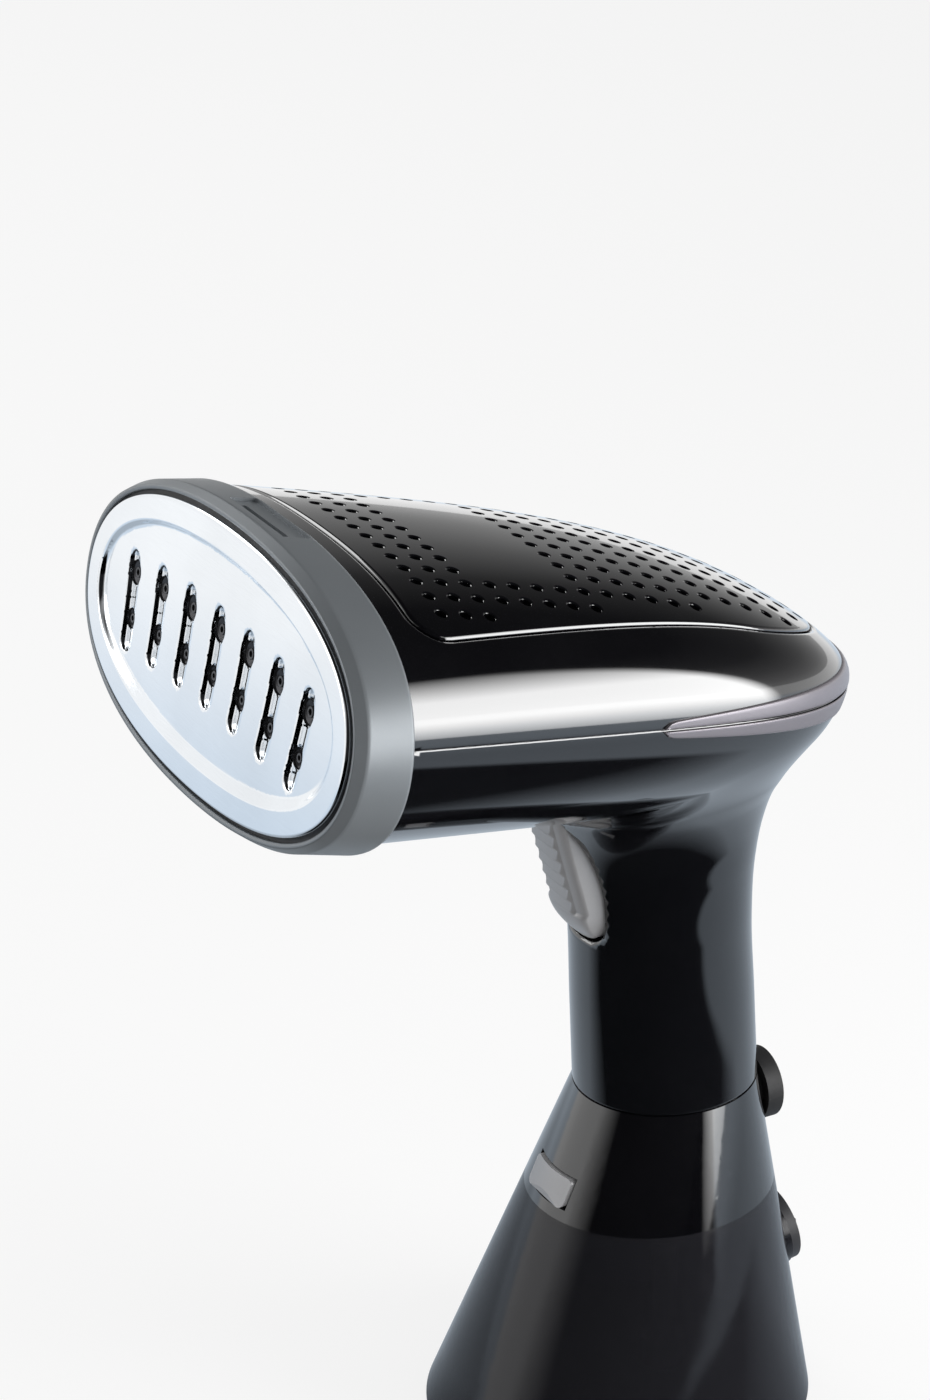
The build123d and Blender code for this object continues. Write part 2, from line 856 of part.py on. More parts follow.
def boss_outlines():
    """Outlines of the screw bosses, each run into the wall beside it."""
    with Locations(*front_bosses):
        Circle(boss_radius)
    with Locations((0, rear_boss_behind + rear_boss_reach / 2)):
        SlotCenterToCenter(rear_boss_reach, 2 * boss_radius, rotation=90)


with BuildPart() as upper_shell:
    add(head_top)
    split(bisect_by=seam_plane, keep=Keep.TOP)
    add(top_cavity, mode=Mode.SUBTRACT)
    with BuildSketch(plan_plane.offset(parting_level + 2)):
        cover_outline(fit_gap)
    extrude(amount=head_rise + 2, mode=Mode.SUBTRACT)
    with BuildSketch(parting_plane):
        boss_outlines()
    extrude(amount=boss_tab)
    add(shell_screw_set.part, mode=Mode.SUBTRACT)
save(upper_shell, "upper_shell")

# ---------------------------------------------------------------- trigger and its pin
pivot_height = handle_foot + trigger_pivot_height
pivot_plane = Plane(origin=(0, trigger_pivot_depth, pivot_height), x_dir=(0, 1, 0), z_dir=(1, 0, 0))
tip_height = handle_foot + trigger_tip
lean_shift = sin(radians(trigger_lean)) / cos(radians(trigger_lean))
nub_height = pivot_height - nub_below_pivot
trigger_rear_face = trigger_face + trigger_depth


def trigger_front(height):
    """Front of the leaning thumb face at a height."""
    return trigger_face - (height - tip_height) * lean_shift


def trigger_rear(height):
    """Rear of the trigger at a height."""
    rise = (height - tip_height - 4) / (trigger_top_height - tip_height - 2)
    return trigger_rear_face + rise * (trigger_pivot_depth - trigger_rear_face)


trigger_top_height = handle_foot + trigger_top
trigger_spring_height = pivot_height - spring_below_pivot
trigger_spring_front = trigger_rear(trigger_spring_height - trigger_spring_radius) + 2 * spring_wire
spring_room_behind = seat_rib_front - spring_wire - trigger_spring_front


def trigger_outline(half_width, front, rear):
    """Plan of the trigger at a height: rounded thumb face, straight sides and a flat back."""
    shoulder = front + trigger_roundness * half_width
    with BuildLine() as outline:
        Line((-half_width, rear), (half_width, rear))
        Line((half_width, rear), (half_width, shoulder))
        ThreePointArc(
            (half_width, shoulder),
            (0, front),
            (-half_width, shoulder),
        )
        Line((-half_width, shoulder), (-half_width, rear))
    make_face(outline.edges())


with BuildPart() as trigger:
    for rise, share, front_setback, rear_setback in trigger_tip_sections:
        with BuildSketch(Plane.XY.offset(tip_height + rise)):
            trigger_outline(
                share * trigger_half_width,
                trigger_front(tip_height + rise) + front_setback,
                trigger_rear_face - rear_setback,
            )
    with BuildSketch(Plane.XY.offset(trigger_top_height)):
        trigger_outline(
            trigger_half_width,
            trigger_front(trigger_top_height),
            trigger_rear(trigger_top_height),
        )
    loft(ruled=True)
    with BuildSketch(pivot_plane.offset(-trigger_half_width)):
        Circle(trigger_hub_radius)
    extrude(amount=2 * trigger_half_width)
    with BuildSketch(Plane.XZ.offset(-trigger_rear_face + 1)):
        with Locations((0, nub_height)):
            Circle(nub_radius)
    extrude(amount=-nub_reach)
    with BuildSketch(pivot_plane.offset(-trigger_half_width)):
        Circle(trigger_pin_radius + pin_clearance)
    extrude(amount=2 * trigger_half_width, mode=Mode.SUBTRACT)
save(trigger, "trigger")

with BuildPart() as trigger_pin:
    with BuildSketch(pivot_plane.offset(-trigger_pin_length / 2)):
        Circle(trigger_pin_radius)
    extrude(amount=trigger_pin_length)
save(trigger_pin, "trigger_pin")
nub_tip = trigger_rear_face - 1 + nub_reach

# ---------------------------------------------------------------- switch
button_tip = nub_tip + fit_gap
switch_front = button_tip + switch_button_outside
with BuildPart() as switch_body:
    with BuildSketch(Plane.XZ.offset(-switch_front)):
        with Locations((0, nub_height)):
            Rectangle(switch_width, switch_height)
    extrude(amount=-switch_depth)
    with BuildSketch(Plane.XZ.offset(-switch_front)):
        with Locations((0, nub_height)):
            Circle(switch_button_radius + pin_clearance)
    extrude(amount=-switch_depth * switch_bore_share, mode=Mode.SUBTRACT)
save(switch_body, "switch_body")

with BuildPart() as switch_button:
    with BuildSketch(Plane.XZ.offset(-button_tip)):
        with Locations((0, nub_height)):
            Circle(switch_button_radius)
    extrude(amount=-switch_button_outside - switch_button_inside)
save(switch_button, "switch_button")

# ---------------------------------------------------------------- main housing
ear_inside = trigger_half_width + sliding_gap
ear_front = -36.0
ear_back = trigger_pivot_depth + 2 * trigger_pin_radius + ear_thickness
ear_low = pivot_height - 2 * trigger_hub_radius
ear_high = pivot_height + trigger_hub_radius
shelf_level = handle_foot + shelf_height
saddle_height = 2.0
window_low = tip_height - 3 * sliding_gap
window_corner = 1.5
window_cut_front = trigger_face - 2 * trigger_depth
window_cut_length = 3.3 * trigger_depth  # clear through the front wall and the ears' space
window_high = pivot_height + trigger_hub_radius + 2 * sliding_gap

with BuildPart(mode=Mode.PRIVATE) as housing_ears:
    for side in (-1, 1):
        with BuildSketch(Plane.YZ.offset(side * (ear_inside + ear_thickness / 2))):
            with Locations(((ear_front + ear_back) / 2, (ear_low + ear_high) / 2)):
                Rectangle(ear_back - ear_front, ear_high - ear_low)
        extrude(amount=ear_thickness / 2, both=True)
    add(handle_skin, mode=Mode.INTERSECT)

with BuildPart(mode=Mode.PRIVATE) as switch_saddle:
    saddle_top = nub_height - switch_height / 2
    with BuildSketch(Plane.XY.offset(saddle_top)):
        with Locations((0, switch_front + switch_depth / 2)):
            Rectangle(4 * handle_base_radius, switch_depth)
    extrude(amount=-saddle_height)
    add(handle_skin, mode=Mode.INTERSECT)

with BuildPart(mode=Mode.PRIVATE) as spring_rib:
    with BuildSketch(Plane.XY.offset(trigger_spring_height - seat_rib_height / 2)):
        with Locations((0, seat_rib_front + seat_rib_thickness / 2)):
            Rectangle(4 * handle_base_radius, seat_rib_thickness)
    extrude(amount=seat_rib_height)
    add(handle_skin, mode=Mode.INTERSECT)

with BuildPart(mode=Mode.PRIVATE) as pump_shelf:
    with BuildSketch(Plane.XY.offset(shelf_level)):
        with Locations((0, shelf_back / 2 - handle_base_depth / 2)):
            Rectangle(2 * handle_base_radius, handle_base_depth + shelf_back)
    extrude(amount=shelf_thickness)
    add(handle_skin, mode=Mode.INTERSECT)
    with BuildSketch(Plane.XY.offset(shelf_level)):
        with Locations((0, water_axis)):
            Circle(hose_bore_radius + hose_wall + sliding_gap)
        for side in (-1, 1):
            with Locations((side * pump_screw_offset, water_axis)):
                Circle(screw_radius)
    extrude(amount=shelf_thickness, mode=Mode.SUBTRACT)

with BuildPart() as main_housing:
    add(head_bottom)
    split(bisect_by=seam_plane, keep=Keep.TOP)
    add(handle_skin)
    add(bottom_cavity, mode=Mode.SUBTRACT)
    add(handle_cavity, mode=Mode.SUBTRACT)
    with BuildSketch(parting_plane):
        boss_outlines()
    extrude(amount=-boss_depth)
    add(housing_ears.part)
    add(pump_shelf.part)
    add(switch_saddle.part)
    add(spring_rib.part)
    with BuildSketch(Plane.XZ.offset(-window_cut_front)):
        with Locations((0, (window_low + window_high) / 2)):
            RectangleRounded(2 * ear_inside, window_high - window_low, window_corner)
    extrude(amount=-window_cut_length, mode=Mode.SUBTRACT)
    add(trigger_pin.part, mode=Mode.SUBTRACT)
    add(shell_screw_set.part, mode=Mode.SUBTRACT)
save(main_housing, "main_housing")

# ---------------------------------------------------------------- pump
pump_foot = shelf_level + shelf_thickness
coil_foot = pump_foot + yoke_plate
coil_top = coil_foot + coil_height
yoke_top = coil_top + yoke_plate
core_top = yoke_top + core_above
core_foot = shelf_level - core_above
core_floor = coil_foot + plunger_stroke
plunger_foot = core_floor + plunger_stroke
pump_center = (0, water_axis)

with BuildPart() as pump_screws:
    for side in (-1, 1):
        with BuildSketch(Plane.XY.offset(shelf_level)):
            with Locations((side * pump_screw_offset, water_axis)):
                Circle(screw_radius)
        extrude(amount=shelf_thickness + yoke_plate)
        with BuildSketch(Plane.XY.offset(shelf_level)):
            with Locations((side * pump_screw_offset, water_axis)):
                Circle(pump_screw_head_radius)
        extrude(amount=-screw_head_height)
save(pump_screws, "pump_screws")

with BuildPart() as pump_yoke:
    for level in (pump_foot, coil_top):
        with BuildSketch(Plane.XY.offset(level)):
            with Locations(pump_center):
                Rectangle(2 * yoke_half - 2, 2 * yoke_half)
        extrude(amount=yoke_plate)
    with BuildSketch(Plane.XY.offset(pump_foot)):
        with Locations((0, water_axis + yoke_half - yoke_plate / 2)):
            Rectangle(2 * yoke_half - 2, yoke_plate)
    extrude(amount=yoke_top - pump_foot)
    with BuildSketch(Plane.XY.offset(pump_foot)):
        with Locations(pump_center):
            Circle(core_radius)
    extrude(amount=yoke_top - pump_foot, mode=Mode.SUBTRACT)
    add(pump_screws.part, mode=Mode.SUBTRACT)
save(pump_yoke, "pump_yoke")

with BuildPart() as pump_coil:
    with BuildSketch(Plane.XY.offset(coil_foot)):
        with Locations(pump_center):
            Circle(yoke_half - yoke_plate)
            Circle(core_radius, mode=Mode.SUBTRACT)
    extrude(amount=coil_height)
save(pump_coil, "pump_coil")

with BuildPart() as pump_tube:
    with BuildSketch(Plane.XY.offset(core_foot)):
        with Locations(pump_center):
            Circle(hose_bore_radius)
    extrude(amount=core_top - core_foot)
    with BuildSketch(Plane.XY.offset(pump_foot)):
        with Locations(pump_center):
            Circle(core_radius)
    extrude(amount=yoke_top - pump_foot)
    with BuildSketch(Plane.XY.offset(core_foot)):
        with Locations(pump_center):
            Circle(inlet_bore_radius)
    extrude(amount=core_top - core_foot, mode=Mode.SUBTRACT)
    with BuildSketch(Plane.XY.offset(core_floor)):
        with Locations(pump_center):
            Circle(plunger_radius + pin_clearance)
    extrude(amount=coil_top - core_floor, mode=Mode.SUBTRACT)
save(pump_tube, "pump_tube")

with BuildPart() as pump_plunger:
    with BuildSketch(Plane.XY.offset(plunger_foot)):
        with Locations(pump_center):
            Circle(plunger_radius)
    extrude(amount=plunger_length)
save(pump_plunger, "pump_plunger")

with BuildPart() as pump_spring:
    spring_height = coil_top - plunger_foot - plunger_length - 2 * spring_wire
    with Locations((0, water_axis, plunger_foot + plunger_length + spring_wire)):
        add(coil_spring(plunger_radius - 2 * spring_wire, spring_wire, spring_height, plunger_spring_pitch))
save(pump_spring, "pump_spring")

# ---------------------------------------------------------------- collar
collar_top = handle_foot
collar_low = tank_height
gland_height = tank_height + gland_above_tank
gland_section = base_section(gland_height, 0)
gland_face = gland_section[1] - gland_section[2]
button_level = tank_height + button_above_tank
button_section = base_section(button_level, 0)
button_front = -button_section[1] - button_section[2]
button_back = button_front + button_reach
stop_front = button_back + button_travel + spring_room
catch_back = button_back + button_travel + 2 * sliding_gap + catch_thickness
catches_at = [(side * catch_offset, catch_back - catch_thickness / 2) for side in (-1, 1)]
dock_foot = tank_height - dock_length
seal_level = dock_foot + dock_seal_above
seal_ring_radius = neck_radius - seal_gap - dock_seal_radius

spigot_inset = handle_wall + fit_gap
wall_cut = 3 * base_wall  # a cut starts this far outside the wall and ends as far inside
with BuildPart(mode=Mode.PRIVATE) as collar_tongue:
    with BuildSketch(Plane.XY.offset(collar_top)):
        Ellipse(handle_base_radius, handle_base_depth)
    extrude(amount=collar_spigot)
    add(handle_body(spigot_inset), mode=Mode.INTERSECT)
    add(handle_body(spigot_inset + collar_spigot_wall), mode=Mode.SUBTRACT)

with BuildPart() as base_collar:
    add(base_body(collar_low, collar_top, 0))
    add(base_body(collar_low + collar_floor, collar_top + 1, base_wall), mode=Mode.SUBTRACT)
    with BuildSketch(Plane.XY.offset(collar_top)):
        Ellipse(handle_base_radius - base_wall / 2, handle_base_depth - base_wall / 2)
        Ellipse(
            handle_base_radius - spigot_inset - collar_spigot_wall,
            handle_base_depth - spigot_inset - collar_spigot_wall,
            mode=Mode.SUBTRACT,
        )
    extrude(amount=-collar_spigot)
    add(collar_tongue.part)
    with BuildSketch(Plane.XY.offset(collar_low + collar_floor)):
        with Locations(pump_center):
            Circle(dock_radius)
    extrude(amount=-collar_floor - dock_length)
    with BuildSketch(Plane.XY.offset(collar_low + collar_floor)):
        with Locations(pump_center):
            Circle(pickup_radius)
    extrude(amount=-collar_floor - dock_length, mode=Mode.SUBTRACT)
    with BuildSketch(Plane.XY.offset(seal_level - dock_seal_radius)):
        with Locations(pump_center):
            Circle(dock_radius)
            Circle(seal_ring_radius - dock_seal_radius, mode=Mode.SUBTRACT)
    extrude(amount=2 * dock_seal_radius, mode=Mode.SUBTRACT)
    with BuildSketch(Plane.XZ.offset(-gland_face + wall_cut)):
        with Locations((0, gland_height)):
            Circle(gland_radius)
    extrude(amount=-2 * wall_cut, mode=Mode.SUBTRACT)
    with BuildSketch(Plane.XZ.offset(-button_front - wall_cut)):
        with Locations((0, button_level)):
            Rectangle(button_width + 2 * sliding_gap, button_height + 2 * sliding_gap)
    extrude(amount=2 * wall_cut, mode=Mode.SUBTRACT)
    with BuildSketch(Plane.XY.offset(collar_low)):
        with Locations(*catches_at):
            Rectangle(catch_thickness + 2 * sliding_gap, catch_thickness + 2 * sliding_gap)
    extrude(amount=collar_floor, mode=Mode.SUBTRACT)
    with BuildSketch(Plane.XY.offset(collar_low + collar_floor)):
        with Locations((0, stop_front + stop_thickness / 2)):
            Rectangle(stop_width, stop_thickness)
    extrude(amount=button_above_tank + button_height / 2 - collar_floor)
save(base_collar, "base_collar")

with BuildPart(mode=Mode.PRIVATE) as seal_ring:
    with BuildSketch(Plane.XZ):
        with Locations((seal_ring_radius, 0)):
            Circle(dock_seal_radius)
    revolve(axis=Axis.Z)
with BuildPart() as dock_seal:
    with Locations((0, water_axis, seal_level)):
        add(seal_ring.part)
save(dock_seal, "dock_seal")

# ---------------------------------------------------------------- water path
tank_floor_top = foot_thickness + tank_floor
filter_foot = tank_floor_top + pickup_clear_of_floor
with BuildPart() as pickup_tube:
    with BuildSketch(Plane.XY.offset(filter_foot + 1)):
        with Locations(pump_center):
            Circle(pickup_radius)
    extrude(amount=pickup_top - hose_grip - filter_foot - 1)
    with BuildSketch(Plane.XY.offset(pickup_top - hose_grip)):
        with Locations(pump_center):
            Circle(hose_bore_radius)
    extrude(amount=hose_grip)
    with BuildSketch(Plane.XY.offset(filter_foot + 1)):
        with Locations(pump_center):
            Circle(inlet_bore_radius)
    extrude(amount=pickup_top, mode=Mode.SUBTRACT)
save(pickup_tube, "pickup_tube")

with BuildPart() as inlet_filter:
    with BuildSketch(Plane.XY.offset(filter_foot)):
        with Locations(pump_center):
            Circle(filter_radius)
    extrude(amount=filter_height)
    with BuildSketch(Plane.XY.offset(filter_foot + 1)):
        with Locations(pump_center):
            Circle(pickup_radius)
    extrude(amount=filter_height, mode=Mode.SUBTRACT)
save(inlet_filter, "inlet_filter")

with BuildPart() as inlet_hose:
    with BuildSketch(Plane.XY.offset(pickup_top - hose_grip)):
        with Locations(pump_center):
            Circle(hose_bore_radius + hose_wall)
            Circle(hose_bore_radius, mode=Mode.SUBTRACT)
    extrude(amount=pump_foot - pickup_top + hose_grip)
save(inlet_hose, "inlet_hose")

hose_bend = 20.0
hose_turn_behind = (nose_reach + water_axis) / tilt_cos - plate_level * tilt_sin / tilt_cos
outlet_route = [
    (0, water_axis, yoke_top),
    head_point(0, hose_turn_behind, plate_level),
    head_point(0, boss_end, plate_level),
]
with BuildPart() as outlet_hose:
    add(tube_along(outlet_route, hose_bend, hose_bore_radius + hose_wall, hose_bore_radius))
save(outlet_hose, "outlet_hose")

# ---------------------------------------------------------------- release button
with BuildPart() as release_button:
    with BuildSketch(Plane.XZ.offset(-button_front + 2 * button_proud)):
        with Locations((0, button_level)):
            RectangleRounded(button_width, button_height, button_corner)
    extrude(amount=-4 * button_proud - base_wall)
    add(base_body(collar_low, collar_top, -button_proud), mode=Mode.INTERSECT)
    with BuildSketch(Plane.XZ.offset(-button_front - 2 * button_proud - base_wall)):
        with Locations((0, button_level)):
            Rectangle(2 * button_stem_half, button_height - 2)
    extrude(amount=-button_back + button_front + 2 * button_proud + base_wall)
save(release_button, "release_button")

with BuildPart() as button_spring:
    spring_start = button_back + spring_wire
    spring_end = stop_front - spring_wire
    with Locations(Location((0, spring_start, button_level), (-90, 0, 0))):
        add(coil_spring(button_spring_radius, spring_wire, spring_end - spring_start, button_spring_pitch))
save(button_spring, "button_spring")

# ---------------------------------------------------------------- cord inlet
with BuildPart() as cord_gland:
    with BuildSketch(Plane.XZ.offset(-gland_face)):
        with Locations((0, gland_height)):
            Circle(gland_flange_radius)
    extrude(amount=-gland_flange - base_wall)
    add(base_body(collar_low, collar_top, 0), mode=Mode.SUBTRACT)
    with BuildSketch(Plane.XZ.offset(-gland_face - gland_flange)):
        with Locations((0, gland_height)):
            Circle(gland_radius)
    extrude(amount=gland_flange + 2 * base_wall)
    with BuildSketch(Plane.XZ.offset(-gland_face - wall_cut)):
        with Locations((0, gland_height)):
            Circle(cord_bore_radius)
    extrude(amount=2 * wall_cut, mode=Mode.SUBTRACT)
save(cord_gland, "cord_gland")

# ---------------------------------------------------------------- terminal block and leads
terminal_center = terminal_back - terminal_depth / 2
terminal_foot = collar_low + collar_floor
lead_foot = terminal_foot + terminal_height
with BuildPart() as terminal_block:
    with BuildSketch(Plane.XY.offset(terminal_foot)):
        with Locations((0, terminal_center)):
            Rectangle(terminal_width, terminal_depth)
    extrude(amount=terminal_height)
save(terminal_block, "terminal_block")

lead_back = terminal_back - terminal_depth + lead_radius
lead_turn_behind = (nose_reach + lead_back - plate_level * tilt_sin) / tilt_cos
tag_across = -thermostat_offset / 2 - thermostat_tag
tag_behind = block_back + thermostat_height + thermostat_tag
fuse_end = thermostat_offset + fuse_length / 2
lead_bow = 8.0  # the fuse's lead bows out this far before it turns in
thermostat_lead_corner = 2 * tag_behind
fuse_lead_corner = 1.5 * fuse_behind
thermostat_lead = [
    (-lead_half_spacing, lead_back, lead_foot),
    head_point(-lead_half_spacing, lead_turn_behind, plate_level),
    head_point(tag_across, thermostat_lead_corner, plate_level),
    head_point(tag_across, tag_behind, plate_level),
]
fuse_lead = [
    (lead_half_spacing, lead_back, lead_foot),
    head_point(lead_half_spacing, lead_turn_behind, plate_level),
    head_point(fuse_end + lead_bow, fuse_lead_corner, plate_level),
    head_point(fuse_end + lead_bow, fuse_behind, plate_level),
    head_point(fuse_end, fuse_behind, plate_level),
]
with BuildPart() as heater_leads:
    add(tube_along(thermostat_lead, thermostat_lead_bend, lead_radius))
    add(tube_along(fuse_lead, fuse_lead_bend, lead_radius))
save(heater_leads, "heater_leads")

# ---------------------------------------------------------------- water tank
plug_section = base_section(plug_height, 0)
plug_face = plug_section[1] - plug_section[2]
wall_slope = (flare_depth - flare_shift) / handle_foot
plug_plane = Plane(origin=(0, plug_face, plug_height), x_dir=(1, 0, 0), z_dir=(0, 1, wall_slope))
catch_foot = tank_height - base_wall

with BuildPart() as water_tank:
    add(base_body(foot_thickness, tank_height, 0))
    fillet(edges().group_by(Axis.Z)[0], radius=base_edge)
    add(base_body(foot_thickness, tank_height - base_wall, base_wall), mode=Mode.SUBTRACT)
    with BuildSketch(Plane.XY.offset(tank_height)):
        with Locations(pump_center):
            Circle(neck_radius + neck_wall)
    extrude(amount=-neck_length)
    with BuildSketch(Plane.XY.offset(tank_height)):
        with Locations(pump_center):
            Circle(neck_radius)
    extrude(amount=-neck_length, mode=Mode.SUBTRACT)
    with BuildSketch(Plane.XY.offset(catch_foot)):
        with Locations(*catches_at):
            Rectangle(catch_thickness, catch_thickness)
    extrude(amount=base_wall + catch_height)
    with BuildSketch(plug_plane.offset(plug_pad_height)):
        Circle(plug_head_radius + sliding_gap)
    extrude(amount=-plug_pad_height - plug_pad_root)
    with BuildSketch(plug_plane.offset(plug_pad_height)):
        Circle(plug_hole_radius)
    extrude(amount=-2 * plug_stem_length, mode=Mode.SUBTRACT)
save(water_tank, "water_tank")

with BuildPart() as tank_base:
    add(base_body(foot_thickness, tank_floor_top, base_wall + fit_gap))
save(tank_base, "tank_base")

with BuildPart() as foot_pad:
    pad_half_width, pad_half_depth, pad_shift = base_section(0, foot_inset)
    with BuildSketch(Plane.XY):
        with Locations((0, -pad_shift)):
            Ellipse(pad_half_width, pad_half_depth)
    extrude(amount=foot_thickness)
save(foot_pad, "foot_pad")

plug_seat = plug_pad_height + fit_gap
with BuildPart() as filler_plug:
    with BuildSketch(plug_plane.offset(plug_seat)):
        Circle(plug_head_radius)
    extrude(amount=plug_head_height)
    with BuildSketch(plug_plane.offset(plug_seat)):
        Circle(plug_hole_radius - sliding_gap / 2)
    extrude(amount=-plug_stem_length)
    with BuildSketch(plug_plane.offset(plug_seat + plug_head_height)):
        Rectangle(plug_hole_radius, plug_tab_thickness)
    extrude(amount=plug_tab_height)
save(filler_plug, "filler_plug")

# ---------------------------------------------------------------- trigger spring
with BuildPart() as trigger_spring:
    spring_foot = Location((0, trigger_spring_front, trigger_spring_height), (-90, 0, 0))
    with Locations(spring_foot):
        add(coil_spring(trigger_spring_radius, spring_wire, spring_room_behind, trigger_spring_pitch))
save(trigger_spring, "trigger_spring")
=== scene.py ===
import json
import logging
import math
from dataclasses import dataclass, field
from enum import Enum
from typing import Callable, Iterable, Sequence

import bpy
import numpy as np
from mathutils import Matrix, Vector
from mathutils.geometry import delaunay_2d_cdt

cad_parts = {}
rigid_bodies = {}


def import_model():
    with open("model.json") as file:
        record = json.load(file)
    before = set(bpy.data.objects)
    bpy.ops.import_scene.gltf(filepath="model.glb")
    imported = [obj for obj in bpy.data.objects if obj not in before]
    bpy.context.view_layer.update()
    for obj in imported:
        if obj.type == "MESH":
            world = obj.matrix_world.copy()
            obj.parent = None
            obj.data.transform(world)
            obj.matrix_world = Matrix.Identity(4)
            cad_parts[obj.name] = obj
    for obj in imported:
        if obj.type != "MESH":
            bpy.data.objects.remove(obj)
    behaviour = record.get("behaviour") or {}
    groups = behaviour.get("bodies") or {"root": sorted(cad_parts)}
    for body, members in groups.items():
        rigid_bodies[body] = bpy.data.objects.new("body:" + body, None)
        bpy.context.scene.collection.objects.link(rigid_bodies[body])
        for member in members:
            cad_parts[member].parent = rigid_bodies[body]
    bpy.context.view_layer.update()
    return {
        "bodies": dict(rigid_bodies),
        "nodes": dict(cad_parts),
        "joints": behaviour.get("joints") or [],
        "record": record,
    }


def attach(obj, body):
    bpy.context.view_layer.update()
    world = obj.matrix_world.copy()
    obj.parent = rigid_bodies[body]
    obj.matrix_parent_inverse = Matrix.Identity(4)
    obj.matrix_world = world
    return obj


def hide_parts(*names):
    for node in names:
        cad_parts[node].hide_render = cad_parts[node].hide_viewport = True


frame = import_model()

# Handheld garment steamer. Sizes are in millimetres and become metres when a mesh is made.
# The head has its own directions: x across, "behind" back along its tilted axis from the
# nozzle plane, and "above" square to that axis.

Array = np.ndarray
log = logging.getLogger("steamer")
MM = 0.001
TILT = math.radians(12.24)
NOSE_Y, NOSE_Z = -115.8, 225.5
PLATE_HALF_WIDTH, PLATE_RISE, PLATE_DROP = 64.5, 29.3, 29.6
PLATE_LEVEL = -1.5
PLATE_POWER = 2.25
HANDLE_FOOT = 90.0
PARTING = 2.5  # height of the parting line above the head's axis
ROUND = 70.0  # flat map distance from the head's middle line to its parting line
EDGE_ROWS = (0.9945, 0.989, 0.980)  # rows beside the parting line, as shares of that distance
CLEARANCE = 0.3  # least distance of loose points from the lines of a flat area
CHUNK = 4000  # points measured in one go


# ---------------- geometry helpers
def unit(vectors: Array) -> Array:
    """Vectors scaled to length one."""
    return vectors / np.maximum(np.linalg.norm(vectors, axis=-1, keepdims=True), 1e-12)


def turned_out(vectors: Array, outward: Array) -> Array:
    """Vectors turned round where they point away from the outward directions."""
    return vectors * np.where((vectors * outward).sum(axis=-1) < 0, -1.0, 1.0)[..., None]


def agreeing(points: Array, faces: Array, normals: Array) -> Array:
    """Faces turned round where they run against their points' normals.

    Args:
        points: The points.
        faces: Point numbers of triangles or of quads.
        normals: A normal for each point.

    Returns:
        The faces.
    """
    corners = points[faces]
    flat = np.cross(corners[:, 2] - corners[:, 0], corners[:, -1] - corners[:, 1])
    wrong = (normals[faces].mean(axis=1) * flat).sum(axis=1) < 0
    return np.where(wrong[:, None], faces[:, ::-1], faces)


def head_place(x: Array, behind: Array, above: Array) -> Array:
    """Places points given in the head's directions.

    Args:
        x: Distances across.
        behind: Distances back along the head's axis.
        above: Heights square to that axis.

    Returns:
        The points in the object's frame, in millimetres.
    """
    x, behind, above = np.broadcast_arrays(x, behind, above)
    y = behind * math.cos(TILT) + above * math.sin(TILT) + NOSE_Y
    z = NOSE_Z - behind * math.sin(TILT) + above * math.cos(TILT)
    return np.stack([x, y, z], axis=-1).astype(float)


def head_turn(x: Array, behind: Array, above: Array) -> Array:
    """Turns directions from the head's axes to the object's."""
    return head_place(x, behind, above) - np.array([0.0, NOSE_Y, NOSE_Z])


def corner_pull(power: float) -> float:
    """How far the handles of a rounded quarter reach, for its fullness."""
    return (8 * 2 ** (-1 / power) - 4) / 3


def quarter(q: Array, width: Array, height: Array, power: float) -> tuple:
    """Points of a rounded quarter, from its widest point to its crest.

    Args:
        q: Shares of the way along the quarter.
        width: Half width at the widest point.
        height: Height of the crest.
        power: Fullness of the corner.

    Returns:
        The points' offsets across and upwards.
    """
    pull = corner_pull(power)
    p = 1 - q
    across = width * (p**3 + 3 * p**2 * q + 3 * pull * p * q**2)
    up = height * (3 * pull * p**2 * q + 3 * p * q**2 + q**3)
    return across, up


def quarter_share(across: Array, width: Array, power: float) -> Array:
    """Share along a rounded quarter at which it is this far across.

    Args:
        across: Distances across.
        width: The quarter's half widths.
        power: Its fullness.

    Returns:
        The shares.
    """
    low = np.zeros(np.broadcast(across, width).shape)
    high = np.ones_like(low)
    for _ in range(40):
        middle = (low + high) / 2
        beyond = quarter(middle, width, 1.0, power)[0] > across
        low, high = np.where(beyond, middle, low), np.where(beyond, high, middle)
    return (low + high) / 2


def rounded_loop(
    half_width: float, rise: float, drop: float, level: float, powers: tuple[float, float], count: int
) -> Array:
    """Closed outline of four rounded quarters, anticlockwise from its widest point.

    Args:
        half_width: Half of the outline's width.
        rise: Height above the level.
        drop: Depth below the level.
        level: Height of the widest points.
        powers: Fullness of the upper and the lower corners.
        count: Points in each quarter.

    Returns:
        The outline's points across and above.
    """
    q = np.linspace(0, 1, count, endpoint=False)
    ax, ay = quarter(q, half_width, rise, powers[0])
    bx, by = quarter(1 - q, half_width, rise, powers[0])
    cx, cy = quarter(q, half_width, drop, powers[1])
    dx, dy = quarter(1 - q, half_width, drop, powers[1])
    across = np.concatenate([ax, -bx, -cx, dx])
    above = level + np.concatenate([ay, by, -cy, -dy])
    return np.stack([across, above], axis=1)


def nose_loop(growth: float, count: int) -> Array:
    """The steam plate's outline, grown or shrunk."""
    sizes = (PLATE_HALF_WIDTH + growth, PLATE_RISE + growth, PLATE_DROP + growth)
    return rounded_loop(*sizes, PLATE_LEVEL, (PLATE_POWER, PLATE_POWER), count)


def circle_loop(centre: Sequence[float], radius: float, count: int) -> Array:
    """Points round a circle, anticlockwise."""
    turn = np.linspace(0, 2 * math.pi, count, endpoint=False)
    return np.stack([centre[0] + radius * np.cos(turn), centre[1] + radius * np.sin(turn)], 1)


